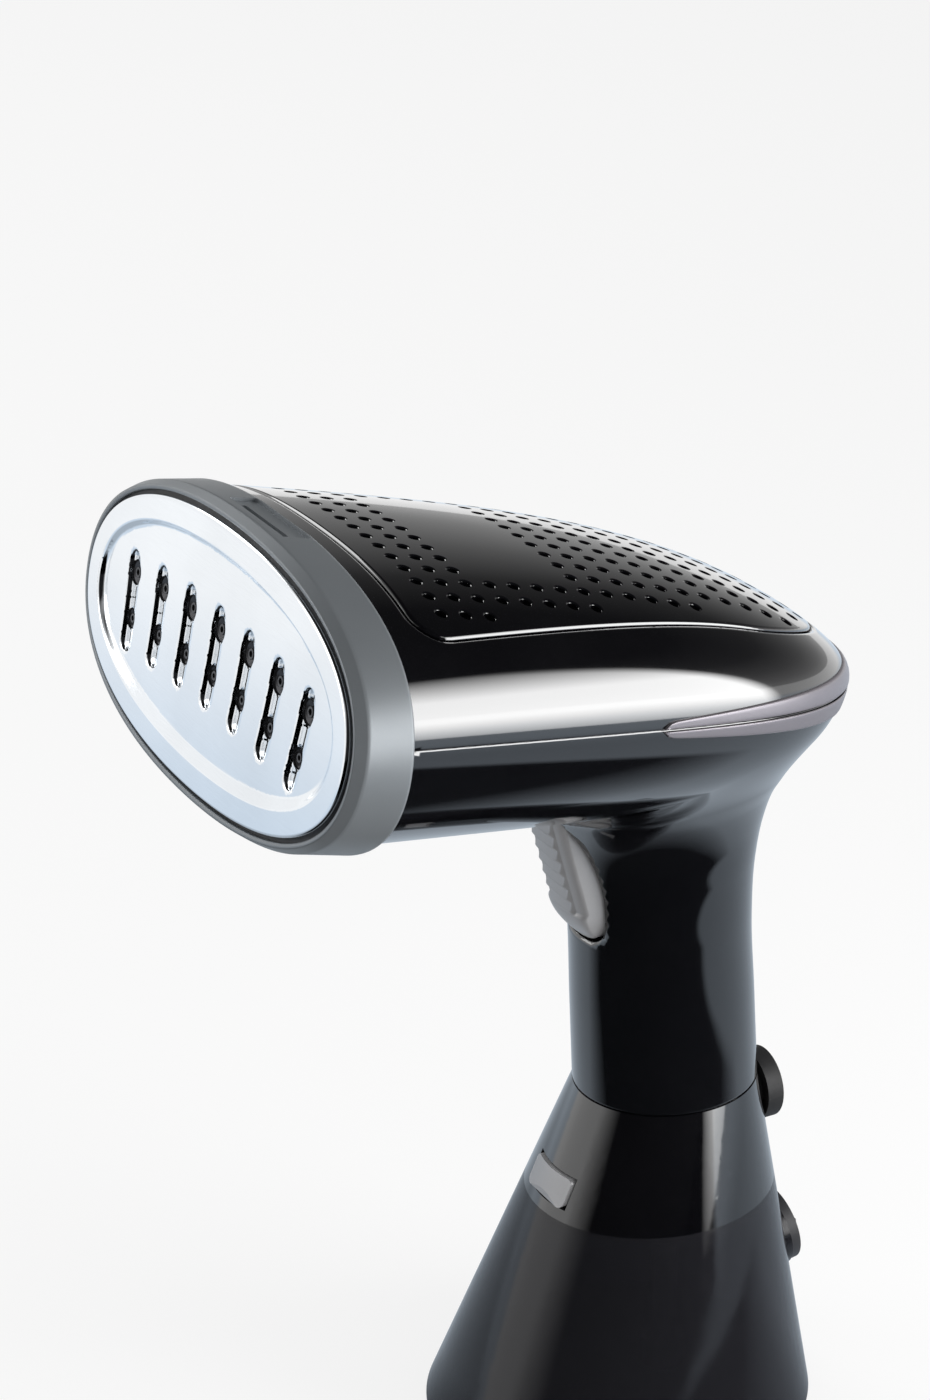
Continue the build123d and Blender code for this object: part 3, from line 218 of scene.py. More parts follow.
def box_loop(low: Sequence[float], high: Sequence[float], radius: float, step: float) -> Array:
    """Points round a rectangle with rounded corners, anticlockwise, about a step apart.

    Args:
        low: The corner with the least of both.
        high: The opposite corner.
        radius: Radius of the corners.
        step: The widest gap left.

    Returns:
        The points.
    """
    corners = [
        (high[0] - radius, low[1] + radius, -90),
        (high[0] - radius, high[1] - radius, 0),
        (low[0] + radius, high[1] - radius, 90),
        (low[0] + radius, low[1] + radius, 180),
    ]
    arcs = []
    for across, along, start in corners:
        turn = np.radians(start + np.linspace(0, 90, 7))
        arcs.append(np.stack([across + radius * np.cos(turn), along + radius * np.sin(turn)], 1))
    return spaced(np.vstack(arcs), step)


def spaced(loop: Array, step: float, closed: bool = True) -> Array:
    """A line's own points with more put in where they are far apart.

    Args:
        loop: The line's points.
        step: The widest gap left between two points.
        closed: Whether the line comes back to its start.

    Returns:
        The filled line.
    """
    ends = np.roll(loop, -1, axis=0) if closed else loop[1:]
    starts = loop if closed else loop[:-1]
    out = []
    for a, b in zip(starts, ends):
        pieces = max(1, int(math.ceil(np.linalg.norm(b - a) / step)))
        share = np.arange(pieces)[:, None] / pieces
        out.append(a + (b - a) * share)
    if not closed:
        out.append(loop[-1:])
    return np.vstack(out)


def inside_loop(points: Array, loop: Array) -> Array:
    """Whether each flat point lies inside a closed line.

    Args:
        points: The points.
        loop: The line.

    Returns:
        True for each point inside.
    """
    x, y = points[:, 0][:, None], points[:, 1][:, None]
    ax, ay = loop[:, 0][None], loop[:, 1][None]
    bx, by = np.roll(loop[:, 0], -1)[None], np.roll(loop[:, 1], -1)[None]
    crossing = (ay > y) != (by > y)
    rise = np.where(np.abs(by - ay) < 1e-12, 1e-12, by - ay)
    reach = ax + (y - ay) * (bx - ax) / rise
    return (np.sum(crossing & (x < reach), axis=1) % 2) == 1


def nearest(points: Array, line: Array) -> tuple[Array, Array]:
    """Number of the line's point that is nearest to each point, and how far away it is.

    Args:
        points: The points.
        line: The line's points.

    Returns:
        The numbers and the distances.
    """
    number = np.zeros(len(points), int)
    gap = np.zeros(len(points))
    for start in range(0, len(points), CHUNK):
        part = slice(start, start + CHUNK)
        apart = np.linalg.norm(points[part, None] - line[None], axis=2)
        number[part], gap[part] = apart.argmin(axis=1), apart.min(axis=1)
    return number, gap


def curved(
    start: Array, end: Array, leave: Array, arrive: Array, t: Array
) -> Array:
    """Smooth curve between two values.

    Args:
        start: The value at 0.
        end: The value at 1.
        leave: The slope at 0.
        arrive: The slope at 1.
        t: Shares of the way along.

    Returns:
        The values along the curve.
    """
    return (
        (2 * t**3 - 3 * t**2 + 1) * start
        + (t**3 - 2 * t**2 + t) * leave
        + (3 * t**2 - 2 * t**3) * end
        + (t**3 - t**2) * arrive
    )


def smooth_step(value: Array, low: float, high: float) -> Array:
    """Rises smoothly from 0 at low to 1 at high."""
    share = np.clip((value - low) / (high - low), 0, 1)
    return share * share * (3 - 2 * share)


def triangulated(
    outer: Array, holes: Sequence[Array], lines: Sequence[Array], filler: Array
) -> tuple[Array, Array]:
    """Fills a flat area with triangles that keep its lines.

    Args:
        outer: The area's closed edge.
        holes: Closed edges of the openings in it.
        lines: Other closed lines that the triangles follow.
        filler: Loose points, kept where they are clear of every line.

    Returns:
        The points and the triangles' point numbers.
    """
    loops = [outer, *holes, *lines]
    every = np.vstack(loops)
    keep = inside_loop(filler, outer)
    for hole in holes:
        keep &= ~inside_loop(filler, hole)
    filler = filler[keep]
    filler = filler[nearest(filler, every)[1] > CLEARANCE]
    points = np.vstack([every, filler])
    edges, start = [], 0
    for loop in loops:
        n = len(loop)
        edges += [(start + i, start + (i + 1) % n) for i in range(n)]
        start += n
    made = delaunay_2d_cdt([Vector(p) for p in points], edges, [], 0, 1e-5)
    flat = np.array([tuple(v) for v in made[0]])
    faces = np.array([f for f in made[2] if len(f) == 3])
    middle = flat[faces].mean(axis=1)
    keep = inside_loop(middle, outer)
    for hole in holes:
        keep &= ~inside_loop(middle, hole)
    return flat, faces[keep]


def grid_points(low: Sequence[float], high: Sequence[float], step: float) -> Array:
    """Staggered grid of flat points over a rectangle.

    Args:
        low: Lowest corner.
        high: Highest corner.
        step: Distance between columns.

    Returns:
        The points.
    """
    columns = np.arange(low[0], high[0], step)
    rows = np.arange(low[1], high[1], step * 0.87)
    x, y = np.meshgrid(columns, rows)
    x = x + (np.arange(len(rows)) % 2)[:, None] * step / 2
    return np.stack([x.ravel(), y.ravel()], axis=1)


def surface_normals(place: Callable, flat: Array, step: float = 0.02) -> Array:
    """Normals of a surface at flat coordinates, from close neighbours.

    Args:
        place: Gives the surface's points at flat coordinates.
        flat: The coordinates.
        step: How far away the neighbours are.

    Returns:
        A unit normal for each point, along the first direction crossed with the second.
    """
    along = np.array([[step, 0.0]])
    up = np.array([[0.0, step]])
    first = place(flat + along) - place(flat - along)
    second = place(flat + up) - place(flat - up)
    return unit(np.cross(first, second))


class Body(Enum):
    """The bodies that the remade pieces ride on."""

    HOUSING = "housing"
    TRIGGER = "trigger"


class Moulding:
    """Gathers the surfaces of one piece and makes its mesh."""

    def __init__(self, name: str) -> None:
        """Starts an empty piece with this name."""
        self.name = name
        self.blocks: list[tuple[Array, Array, Array]] = []

    def add(self, points: Array, faces: Array, normals: Array | None = None) -> None:
        """Adds faces, turned to agree with their normals where those are given.

        Args:
            points: Points in millimetres.
            faces: Point numbers of triangles or of quads.
            normals: A normal for each point, or None for flat faces.
        """
        if normals is None:
            corners = points[faces]
            flat = unit(np.cross(corners[:, 2] - corners[:, 0], corners[:, -1] - corners[:, 1]))
            shading = np.repeat(flat[:, None], faces.shape[1], axis=1)
        else:
            faces = agreeing(points, faces, normals)
            shading = normals[faces]
        self.blocks.append((points, faces, shading))

    def add_wall(
        self, points: Array, faces: Array, normals: Array, inner: Array
    ) -> None:
        """Adds a moulded wall: an outer skin, its inner skin and the rims between them.

        Args:
            points: Points of the outer skin.
            faces: Triangles of the outer skin.
            normals: Normals of the outer skin.
            inner: The matching points of the inner skin.
        """
        faces = agreeing(points, faces, normals)
        self.add(points, faces, normals)
        self.add(inner, faces[:, ::-1], -normals)
        _, same = np.unique(np.round(points, 3), axis=0, return_inverse=True)
        same = same.ravel()
        edges = np.concatenate([faces[:, [0, 1]], faces[:, [1, 2]], faces[:, [2, 0]]])
        known = {(same[a], same[b]) for a, b in edges}
        rim = np.array([(a, b) for a, b in edges if (same[b], same[a]) not in known])
        if len(rim):
            n = len(points)
            both = np.vstack([points, inner])
            self.add(both, np.stack([rim[:, 1], rim[:, 0], rim[:, 0] + n, rim[:, 1] + n], axis=1))

    def add_hoops(
        self, hoops: Sequence[Array], rounded: Iterable[int] = (), flip: bool = False
    ) -> None:
        """Adds bands between closed rows of points.

        Args:
            hoops: Rows with the same number of points each.
            rounded: Bands whose shading blends into the bands beside them.
            flip: Whether the rows run the other way round the normals.
        """
        rounded = set(rounded)
        sign = -1.0 if flip else 1.0
        ways = []
        for low, high in zip(hoops, hoops[1:]):
            runs = [np.roll(row, -1, 0) - np.roll(row, 1, 0) for row in (low, high)]
            ways.append([sign * unit(np.cross(run, high - low)) for run in runs])
        n = len(hoops[0])
        here = np.arange(n)
        then = (here + 1) % n
        quads = np.stack([here, then, then + n, here + n], axis=1)
        for k, (low, high) in enumerate(zip(hoops, hoops[1:])):
            start, end = ways[k]
            if k in rounded:
                before = ways[k - 1][1] if k > 0 else start
                after = ways[k + 1][0] if k + 1 < len(ways) else end
                start = unit(start + before) if k - 1 in rounded else before
                end = unit(end + after) if k + 1 in rounded else after
            self.add(np.vstack([low, high]), quads, np.vstack([start, end]))

    def add_grid(self, rows: Array, normals: Array, closed: bool = False) -> None:
        """Adds a smooth skin over rows of points.

        Args:
            rows: Rows with the same number of points each.
            normals: A normal for each point.
            closed: Whether each row comes back to its start.
        """
        number = np.arange(rows.shape[0] * rows.shape[1]).reshape(rows.shape[:2])
        then = np.roll(number, -1, 1)
        if not closed:
            number, then = number[:, :-1], then[:, :-1]
        faces = np.stack([number[:-1], then[:-1], then[1:], number[1:]], -1).reshape(-1, 4)
        self.add(rows.reshape(-1, 3), faces, normals.reshape(-1, 3))

    def add_cap(self, hoop: Array, way: Sequence[float]) -> None:
        """Closes a row of points with a flat fan that faces the given way.

        Args:
            hoop: The row.
            way: The direction it faces.
        """
        middle = hoop.mean(axis=0)
        n = len(hoop)
        here = np.arange(n)
        faces = np.stack([here, (here + 1) % n, np.full(n, n)], axis=1)
        normals = np.repeat(unit(np.array([way], float)), n + 1, axis=0)
        self.add(np.vstack([hoop, middle]), faces, normals)

    def build(
        self, finish: "Finish", replaces: Sequence[str] = (), body: Body = Body.HOUSING
    ) -> bpy.types.Object:
        """Makes the object, dresses it and puts it on its body.

        Args:
            finish: The piece's finish.
            replaces: The solids that it stands for.
            body: The body that it rides on.

        Returns:
            The finished object.
        """
        points = np.vstack([block[0] for block in self.blocks])
        kept, same = np.unique(np.round(points, 3), axis=0, return_inverse=True)
        same = same.ravel()
        polygons, shading, start = [], [], 0
        for block_points, faces, normals in self.blocks:
            for corner_numbers, corner_normals in zip(same[faces + start], normals):
                numbers: list[int] = []
                own: list[Array] = []
                for number, normal in zip(corner_numbers.tolist(), corner_normals):
                    if number not in numbers:
                        numbers.append(number)
                        own.append(normal)
                if len(numbers) > 2:
                    polygons.append(numbers)
                    shading += own
            start += len(block_points)
        mesh = bpy.data.meshes.new(self.name)
        mesh.from_pydata((kept * MM).tolist(), [], polygons)
        mesh.polygons.foreach_set("use_smooth", [True] * len(polygons))
        mesh.normals_split_custom_set([tuple(n) for n in shading])
        piece = bpy.data.objects.new(self.name, mesh)
        bpy.context.scene.collection.objects.link(piece)
        mesh.materials.append(finish.material())
        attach(piece, body.value)
        if replaces:
            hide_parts(*replaces)
        log.info("%s: %d points, %d faces, on %s", self.name, len(kept), len(polygons), body.value)
        return piece


# ---------------- the head's own form
@dataclass
class HeadForm:
    """The head's body: a front size, a narrowing and a rounded tail."""

    length: float = 158.5
    front: float = 5.0
    half_width: float = 66.2
    narrowing: float = 0.165
    width_fade: float = 7.5  # how late the sides close at the tail
    rise: float = 26.9
    rise_fade: tuple[float, float] = (3.6, 1.5)
    drop: float = 38.8
    drop_fade: tuple[float, float] = (6.6, 1.6)
    belly_narrowing: float = 0.035
    crest_power: float = 2.5
    belly_power: float = 2.2
    run: float = 165.0  # length of the flat map's second direction
    seam_behind: float = 11.9
    seam_lean: float = 3.2
    skin_end: float = 158.35  # how far back the modelled skin goes
    skin_step: float = 2.2
    edge_step: float = 1.2
    edge_width: float = 0.38  # rounding along the parting line
    edge_drop: float = 0.2
    edge_lean: float = 50.0

    def sizes(self, behind: Array, upper: bool) -> tuple:
        """Half width and height of the section this far back, above or below the parting.

        Args:
            behind: Distances back.
            upper: Whether the section is above the parting.

        Returns:
            The half widths and heights.
        """
        share = np.clip(behind / self.length, 0, 1)
        width = (self.half_width - self.narrowing * behind) * np.sqrt(1 - share**self.width_fade)
        late, soft = self.rise_fade if upper else self.drop_fade
        height = self.rise if upper else self.drop - self.belly_narrowing * behind
        return width, height * (1 - share**late) ** (1 / soft)

    def power(self, upper: bool) -> float:
        """Fullness of the section above or below the parting."""
        return self.crest_power if upper else self.belly_power

    def behind_at(self, along: Array) -> Array:
        """Distance back for the flat map's second direction, which is finer near the tail."""
        turn = np.clip(along / self.run, -1, 1) * math.pi / 2
        return self.front + (self.length - self.front) * np.sin(turn)

    def along_at(self, behind: Array) -> Array:
        """The flat map's second direction for a distance back."""
        share = np.clip((behind - self.front) / (self.length - self.front), -1, 1)
        return self.run * np.arcsin(share) / (math.pi / 2)

    def place(self, flat: Array, upper: bool, inset: float = 0.0) -> Array:
        """Points of the head's skin for flat map coordinates.

        Args:
            flat: First the way round, from -ROUND at one parting line over the middle at 0 to
                ROUND at the other, then the way back.
            upper: Whether the points are above the parting line.
            inset: How far inside the skin the points are.

        Returns:
            The points in the object's frame.
        """
        behind = self.behind_at(flat[:, 1])
        width, height = self.sizes(behind, upper)
        q = 1 - np.abs(flat[:, 0]) / ROUND
        power = self.power(upper)
        width = np.maximum(width - inset, 0.02)
        height = np.maximum(height - inset, 0.02)
        across, up = quarter(q, width, height, power)
        across = across * np.where(flat[:, 0] < 0, -1.0, 1.0)
        return head_place(across, behind, PARTING + (up if upper else -up))

    def normals(self, flat: Array, upper: bool) -> Array:
        """Outward normals of the head's skin.

        Args:
            flat: Flat map coordinates.
            upper: Whether they are above the parting.

        Returns:
            The unit normals.
        """
        calm = flat.copy()
        calm[:, 0] = np.where(np.abs(calm[:, 0]) < 0.05, 0.05, calm[:, 0])
        way = surface_normals(lambda f: self.place(f, upper), calm)
        behind = self.behind_at(flat[:, 1])
        centre = head_place(0 * behind, behind - 6.0, 0 * behind + PARTING)
        return turned_out(way, self.place(flat, upper) - centre)

    def round_at(self, across: Array, behind: Array, upper: bool) -> Array:
        """The flat map's first direction for a distance across.

        Args:
            across: Distances across.
            behind: Distances back.
            upper: Whether above the parting.

        Returns:
            The coordinates.
        """
        width, _ = self.sizes(behind, upper)
        q = quarter_share(np.abs(across), width, self.power(upper))
        return np.where(across < 0, -1.0, 1.0) * (1 - q) * ROUND

    def flat_of(self, plan: Array, upper: bool) -> Array:
        """Flat map coordinates of points given across and behind."""
        first = self.round_at(plan[:, 0], plan[:, 1], upper)
        return np.stack([first, self.along_at(plan[:, 1])], 1)

    def height_at(self, across: Array, behind: Array, upper: bool) -> Array:
        """Height of the skin from the parting line at a plan position.

        Args:
            across: Distances across.
            behind: Distances back.
            upper: Whether above the parting.

        Returns:
            The heights, both ways counted as positive.
        """
        width, height = self.sizes(behind, upper)
        power = self.power(upper)
        q = quarter_share(np.abs(across), width, power)
        return quarter(q, width, height, power)[1]

    def seam_line(self, upper: bool) -> Array:
        """Flat map line of the front seam, from one parting line to the other.

        Args:
            upper: Whether it is the half above the parting.

        Returns:
            The line.
        """
        first = np.arange(-ROUND, ROUND + self.edge_step / 2, self.edge_step)
        behind = np.full_like(first, self.seam_behind)
        for _ in range(6):
            width, height = self.sizes(behind, upper)
            up = quarter(1 - np.abs(first) / ROUND, width, height, self.power(upper))[1]
            above = PARTING + (up if upper else -up)
            behind = self.seam_behind - above * math.tan(math.radians(self.seam_lean))
        return np.stack([first, self.along_at(behind)], 1)

    def skin_lines(self, upper: bool) -> tuple[Array, Array]:
        """Flat map of half the skin.

        Args:
            upper: Whether it is the half above the parting line.

        Returns:
            The half's edge, and loose points to fill it with, in rows beside the parting line.
        """
        front = self.seam_line(upper)
        end = float(self.along_at(self.skin_end))
        right = np.array([[ROUND, front[-1, 1]], [ROUND, end]])
        left = np.array([[-ROUND, end], [-ROUND, front[0, 1]]])
        right, left = (spaced(line, self.edge_step, False) for line in (right, left))
        outer = np.vstack([front[:-1], right, left[:-1]])
        inside = ROUND - 1.8
        filler = grid_points((-inside, -2), (inside, end), self.skin_step)
        rows = [line[2:-2] * [share, 1] for line in (right, left) for share in EDGE_ROWS]
        return outer, np.vstack([filler, *rows])

    def roll_parting(self, points: Array, normals: Array, upper: bool) -> tuple:
        """Rounds half the skin over along both parting lines.

        Args:
            points: The skin's points.
            normals: Their normals.
            upper: Whether it is the half above the parting line.

        Returns:
            The new points and normals.
        """
        start = self.seam_line(upper)[0, 1]
        end = float(self.along_at(self.skin_end))
        along = np.linspace(start, end, 160)
        for side in (-ROUND, ROUND):
            line = self.place(np.stack([np.full_like(along, side), along], 1), upper)
            sizes = (self.edge_width, self.edge_drop, self.edge_lean)
            points, normals = rolled_edge(points, normals, line, *sizes, closed=False)
        return points, normals


HEAD = HeadForm()


@dataclass
class CoverForm:
    """Plan outline of the top cover, across and behind."""

    front: float = 18.0
    rear: float = 148.0
    half_width: float = 51.3
    narrowing: float = 0.19
    corner: float = 7.0
    tail_start: float = 112.0
    tail_width: float = 0.62  # of the outline part of the way round the tail
    tail_set: float = 9.0  # how far that lies in front of the rear
    step: float = 1.0

    def loop(self, growth: float) -> Array:
        """The outline, grown or shrunk, anticlockwise from the middle of the front.

        Args:
            growth: How far outside the outline it runs.

        Returns:
            The closed line, across and behind.
        """
        front = self.front - growth
        front_half = self.half_width + growth
        tail_half = front_half - self.narrowing * (self.tail_start - self.front)
        r = self.corner
        lean = math.atan(self.narrowing)
        reach = r / math.tan((math.pi / 2 - lean) / 2)
        centre = np.array([front_half - reach, front + r])
        turn = np.linspace(-math.pi / 2, lean, 9)
        arc = centre + r * np.stack([np.cos(turn), np.sin(turn)], 1)
        start = np.array([tail_half, self.tail_start])
        middle = np.array([tail_half * self.tail_width, self.rear + growth - self.tail_set])
        end = np.array([0.0, self.rear + growth])
        tail = self._bent(start, middle, end)
        right = np.vstack([[[0.0, front]], arc, tail])
        left = right[-2:0:-1] * np.array([-1.0, 1.0])
        return spaced(np.vstack([right, left]), self.step)

    def _bent(self, start: Array, middle: Array, end: Array) -> Array:
        """Smooth line through three points that leaves along the side and ends level.

        Args:
            start: Where it leaves the side.
            middle: The point it passes.
            end: Where it ends.

        Returns:
            The line.
        """
        first = np.linalg.norm(middle - start)
        second = np.linalg.norm(end - middle)
        side = unit(np.array([-self.narrowing, 1.0]))
        over = unit(end - start)
        share = np.linspace(0, 1, 15)[:, None]
        one = curved(start, middle, side * first, over * first, share)
        two = curved(middle, end, over * second, np.array([-1.0, 0.0]) * second, share)
        return np.vstack([one, two[1:]])


COVER = CoverForm()


def tilted(normals: Array, towards: Array, amount: Array) -> Array:
    """Normals leaned towards a direction, for a rolled edge.

    Args:
        normals: The surface's own normals.
        towards: Directions that the edge rolls towards.
        amount: How far each leans, in radians.

    Returns:
        The leaned normals.
    """
    side = unit(towards - (towards * normals).sum(axis=1, keepdims=True) * normals)
    return unit(normals * np.cos(amount)[:, None] + side * np.sin(amount)[:, None])


def rolled_edge(
    points: Array,
    normals: Array,
    line: Array,
    width: float,
    drop: float,
    lean: float,
    closed: bool = True,
) -> tuple[Array, Array]:
    """Rounds a surface over along one of its edges.

    Args:
        points: The surface's points.
        normals: Their normals.
        line: Points of the edge, in order.
        width: Width of the rounded strip.
        drop: How far the very edge sinks.
        lean: How far the very edge's normals lean outwards, in degrees.
        closed: Whether the edge comes back to its start.

    Returns:
        The new points and normals.
    """
    finer = 6  # points on each stretch of the edge
    following = np.roll(line, -1, 0) if closed else line[1:]
    start = line if closed else line[:-1]
    shares = np.arange(finer)[None, :, None] / finer
    line = (start[:, None] + (following - start)[:, None] * shares).reshape(-1, 3)
    run = np.repeat(following - start, finer, axis=0)
    near, gap = nearest(points, line)
    side = unit(np.cross(normals, run[near]))
    outward = ((line[near] - points) * side).sum(axis=1)
    beside = (gap > 0.2) & (gap < 4 * width)
    if outward[beside].sum() < 0:
        side = -side
    share = np.clip(1 - gap / width, 0, 1)
    moved = points - normals * (drop * share**2)[:, None]
    return moved, tilted(normals, side, np.radians(lean) * share)


# ---------------- the steam head
@dataclass
class SteamPlate:
    """Pressed stainless plate with a sunk field, seven scooped slots and two nozzles in each."""

    front: float = -2.5
    skirt: float = 2.5
    rim: float = 0.9  # radius of the turned edge
    field_step: float = 5.6  # from the edge to the step of the sunk field
    field_width: float = 2.9
    field_width_left: float = 1.3  # the step is steeper at the left end
    widens_across: tuple[float, float] = (-60.0, -38.0)  # where it grows wider, from the left
    widens_down: tuple[float, float] = (-22.0, 4.0)  # and from the top, as depths
    field_depth: float = 1.3
    slots: int = 7
    pitch: float = 14.3
    fan: float = 430.0
    slot_half_length: float = 12.0
    slot_half_width: float = 3.1
    slot_depth: float = 1.35
    slot_level: float = -1.4
    slot_wall: float = 0.6  # width of its steep wall
    slot_shallow: float = 0.05  # share of the depth left at its shallow side
    slot_bow: float = 0.5
    nozzle_spacing: float = 10.6
    well_radii: tuple[float, float] = (2.9, 2.4)
    well_lip: float = 0.55
    well_dip: float = 0.5
    well_floor: float = 0.9
    hole_radii: tuple[float, float] = (0.66, 0.54)
    collar: float = 0.6  # width of the raised ring round each hole
    collar_level: float = -0.35
    slot_area: tuple[tuple[float, float], tuple[float, float]] = ((-48.5, -20.0), (48.5, 13.0))
    count: int = 90

    def slot_frames(self) -> list[tuple[float, float, float]]:
        """Across, level and lean of each slot of the fanned row.

        Returns:
            A row of three values for each slot.
        """
        frames = []
        for k in range(self.slots):
            across = (k - (self.slots - 1) / 2) * self.pitch
            frames.append((across, -(across**2) / (2 * self.fan), -across / self.fan))
        return frames

    def nozzles(self) -> list[tuple[float, float, int]]:
        """Across, level and row of each nozzle, the upper row first.

        Returns:
            Three values for each nozzle, with 0 for the upper row.
        """
        spots = []
        for across, level, lean in self.slot_frames():
            for row, offset in enumerate((self.nozzle_spacing / 2, -self.nozzle_spacing / 2)):
                spots.append((across - offset * math.sin(lean), level + offset * math.cos(lean), row))
        return spots

    def depth_at(self, flat: Array, edge: Array) -> Array:
        """How far the pressed sheet lies behind its front face.

        Args:
            flat: Points across and above.
            edge: Their distances from the plate's edge.

        Returns:
            The depths.
        """
        wide = smooth_step(flat[:, 0], *self.widens_across) * smooth_step(-flat[:, 1], *self.widens_down)
        width = self.field_width_left + (self.field_width - self.field_width_left) * wide
        depth = self.field_depth * smooth_step(edge, self.field_step, self.field_step + width)
        straight = self.slot_half_length - self.slot_half_width
        for across, level, lean in self.slot_frames():
            dx = flat[:, 0] - across
            dy = flat[:, 1] - level - self.slot_level
            u = dx * math.cos(lean) + dy * math.sin(lean)
            v = -dx * math.sin(lean) + dy * math.cos(lean)
            bow = u + self.slot_bow * (v / self.slot_half_length) ** 2
            inside = self.slot_half_width - np.hypot(bow, np.maximum(np.abs(v) - straight, 0))
            rise = smooth_step(bow, -self.slot_half_width + self.slot_wall, self.slot_half_width)
            scoop = self.slot_depth * (1 - (1 - self.slot_shallow) * rise)
            depth = depth + scoop * smooth_step(inside, 0, self.slot_wall)
        for (across, level, _), _, radius in self._wells():
            reach = np.hypot(flat[:, 0] - across, flat[:, 1] - level)
            dip = 1 - smooth_step(reach, radius - self.well_lip, radius + self.well_lip)
            depth = depth + self.well_dip * dip
        return depth

    def _wells(self) -> list[tuple]:
        """Each nozzle with the radii of its hole and its well."""
        spots = self.nozzles()
        return [(spot, self.hole_radii[spot[2]], self.well_radii[spot[2]]) for spot in spots]

    def slot_loop(self, frame: tuple[float, float, float], inset: float) -> Array:
        """Outline of one slot, some way inside it.

        Args:
            frame: The slot's across, level and lean.
            inset: How far inside it runs.

        Returns:
            The closed line.
        """
        across, level, lean = frame
        radius, straight = self.slot_half_width - inset, self.slot_half_length - self.slot_half_width
        turn = np.radians(np.arange(0, 181, 12))
        top = np.stack([radius * np.cos(turn), straight + radius * np.sin(turn)], 1)
        bow, v = spaced(np.vstack([top, -top]), 0.7).T
        u = bow - self.slot_bow * (v / self.slot_half_length) ** 2
        x = across + u * math.cos(lean) - v * math.sin(lean)
        return np.stack([x, level + self.slot_level + u * math.sin(lean) + v * math.cos(lean)], 1)

    def build(self, finish: "Finish") -> bpy.types.Object:
        """Presses the plate: its face, turned edge and skirt.

        Args:
            finish: The finish.

        Returns:
            The plate.
        """
        piece = Moulding("steam_plate_pressed")
        outline = nose_loop(-self.rim, self.count)
        edge_line = nose_loop(0, 240)
        holes = [circle_loop(spot[:2], radius, 28) for spot, _, radius in self._wells()]
        rings = []
        for spot, _, radius in self._wells():
            for share in (0.5, 1.0):
                rings.append(circle_loop(spot[:2], radius + share * self.well_lip, 28))
        for frame_of_slot in self.slot_frames():
            for inset in (0.0, self.slot_wall / 2, self.slot_wall):
                rings.append(self.slot_loop(frame_of_slot, inset))
        low, high = self.slot_area
        coarse = grid_points((-66, -33), (66, 30), 1.1)
        coarse = coarse[((coarse < low) | (coarse > high)).any(axis=1)]
        fine = grid_points(low, high, 0.5)
        step_lines = [nose_loop(-self.field_step - k * self.field_width / 5, 80) for k in range(-1, 7)]
        flat, faces = triangulated(outline, holes, step_lines + rings, np.vstack([coarse, fine]))

        def place(at: Array) -> Array:
            """The pressed face's points."""
            edge = nearest(at, edge_line)[1]
            return head_place(at[:, 0], self.front + self.depth_at(at, edge), at[:, 1])

        points = place(flat)
        forward = head_turn(0, -1, 0)
        normals = turned_out(surface_normals(place, flat, 0.06), forward)
        normals[nearest(flat, outline)[1] < 1e-3] = forward
        piece.add(points, faces, normals)
        hoops = [self._at(0.0, self.skirt), self._at(0.0, self.front + self.rim)]
        for turn in np.radians([18, 36, 54, 72, 90]):
            growth = -self.rim * (1 - math.cos(turn))
            behind = self.front + self.rim * (1 - math.sin(turn))
            hoops.append(self._at(growth, behind))
        piece.add_hoops(hoops, rounded=range(1, 6))
        for loop in holes:
            start = self.front + self.depth_at(loop, nearest(loop, edge_line)[1])
            piece.add_hoops([head_place(loop[:, 0], behind, loop[:, 1]) for behind in (start, self.skirt)])
        return piece.build(finish, ["steam_plate"])

    def build_nozzles(self, finish: "Finish") -> bpy.types.Object:
        """Turns the dark nozzle in each well: a cone, a raised ring and the steam hole. Its near-black colour
        is painted shade deep in the well.

        Args:
            finish: The finish.

        Returns:
            The nozzles.
        """
        piece = Moulding("steam_nozzles")
        for (across, level, _), hole, radius in self._wells():
            foot = hole + self.collar
            profile = [
                (radius - 0.02, self.well_floor - 1.5),
                (radius - 0.2, self.well_floor - 0.9),
                (foot + 0.15, self.well_floor),
                (foot, self.well_floor - 0.15),
                (foot - 0.04, self.collar_level + 0.1),
                (foot - 0.14, self.collar_level),
                (hole + 0.1, self.collar_level),
                (hole, self.collar_level + 0.1),
                (hole - 0.05, self.skirt),
            ]
            hoops = []
            for size, behind in profile:
                loop = circle_loop((across, level), size, 24)
                hoops.append(head_place(loop[:, 0], behind, loop[:, 1]))
            piece.add_hoops(hoops, rounded=(4, 6))
            piece.add_cap(hoops[-1], head_turn(0, -1, 0))
        return piece.build(finish)

    def _at(self, growth: float, behind: float) -> Array:
        """The plate's outline, grown, at a distance behind."""
        loop = nose_loop(growth, self.count)
        return head_place(loop[:, 0], behind, loop[:, 1])


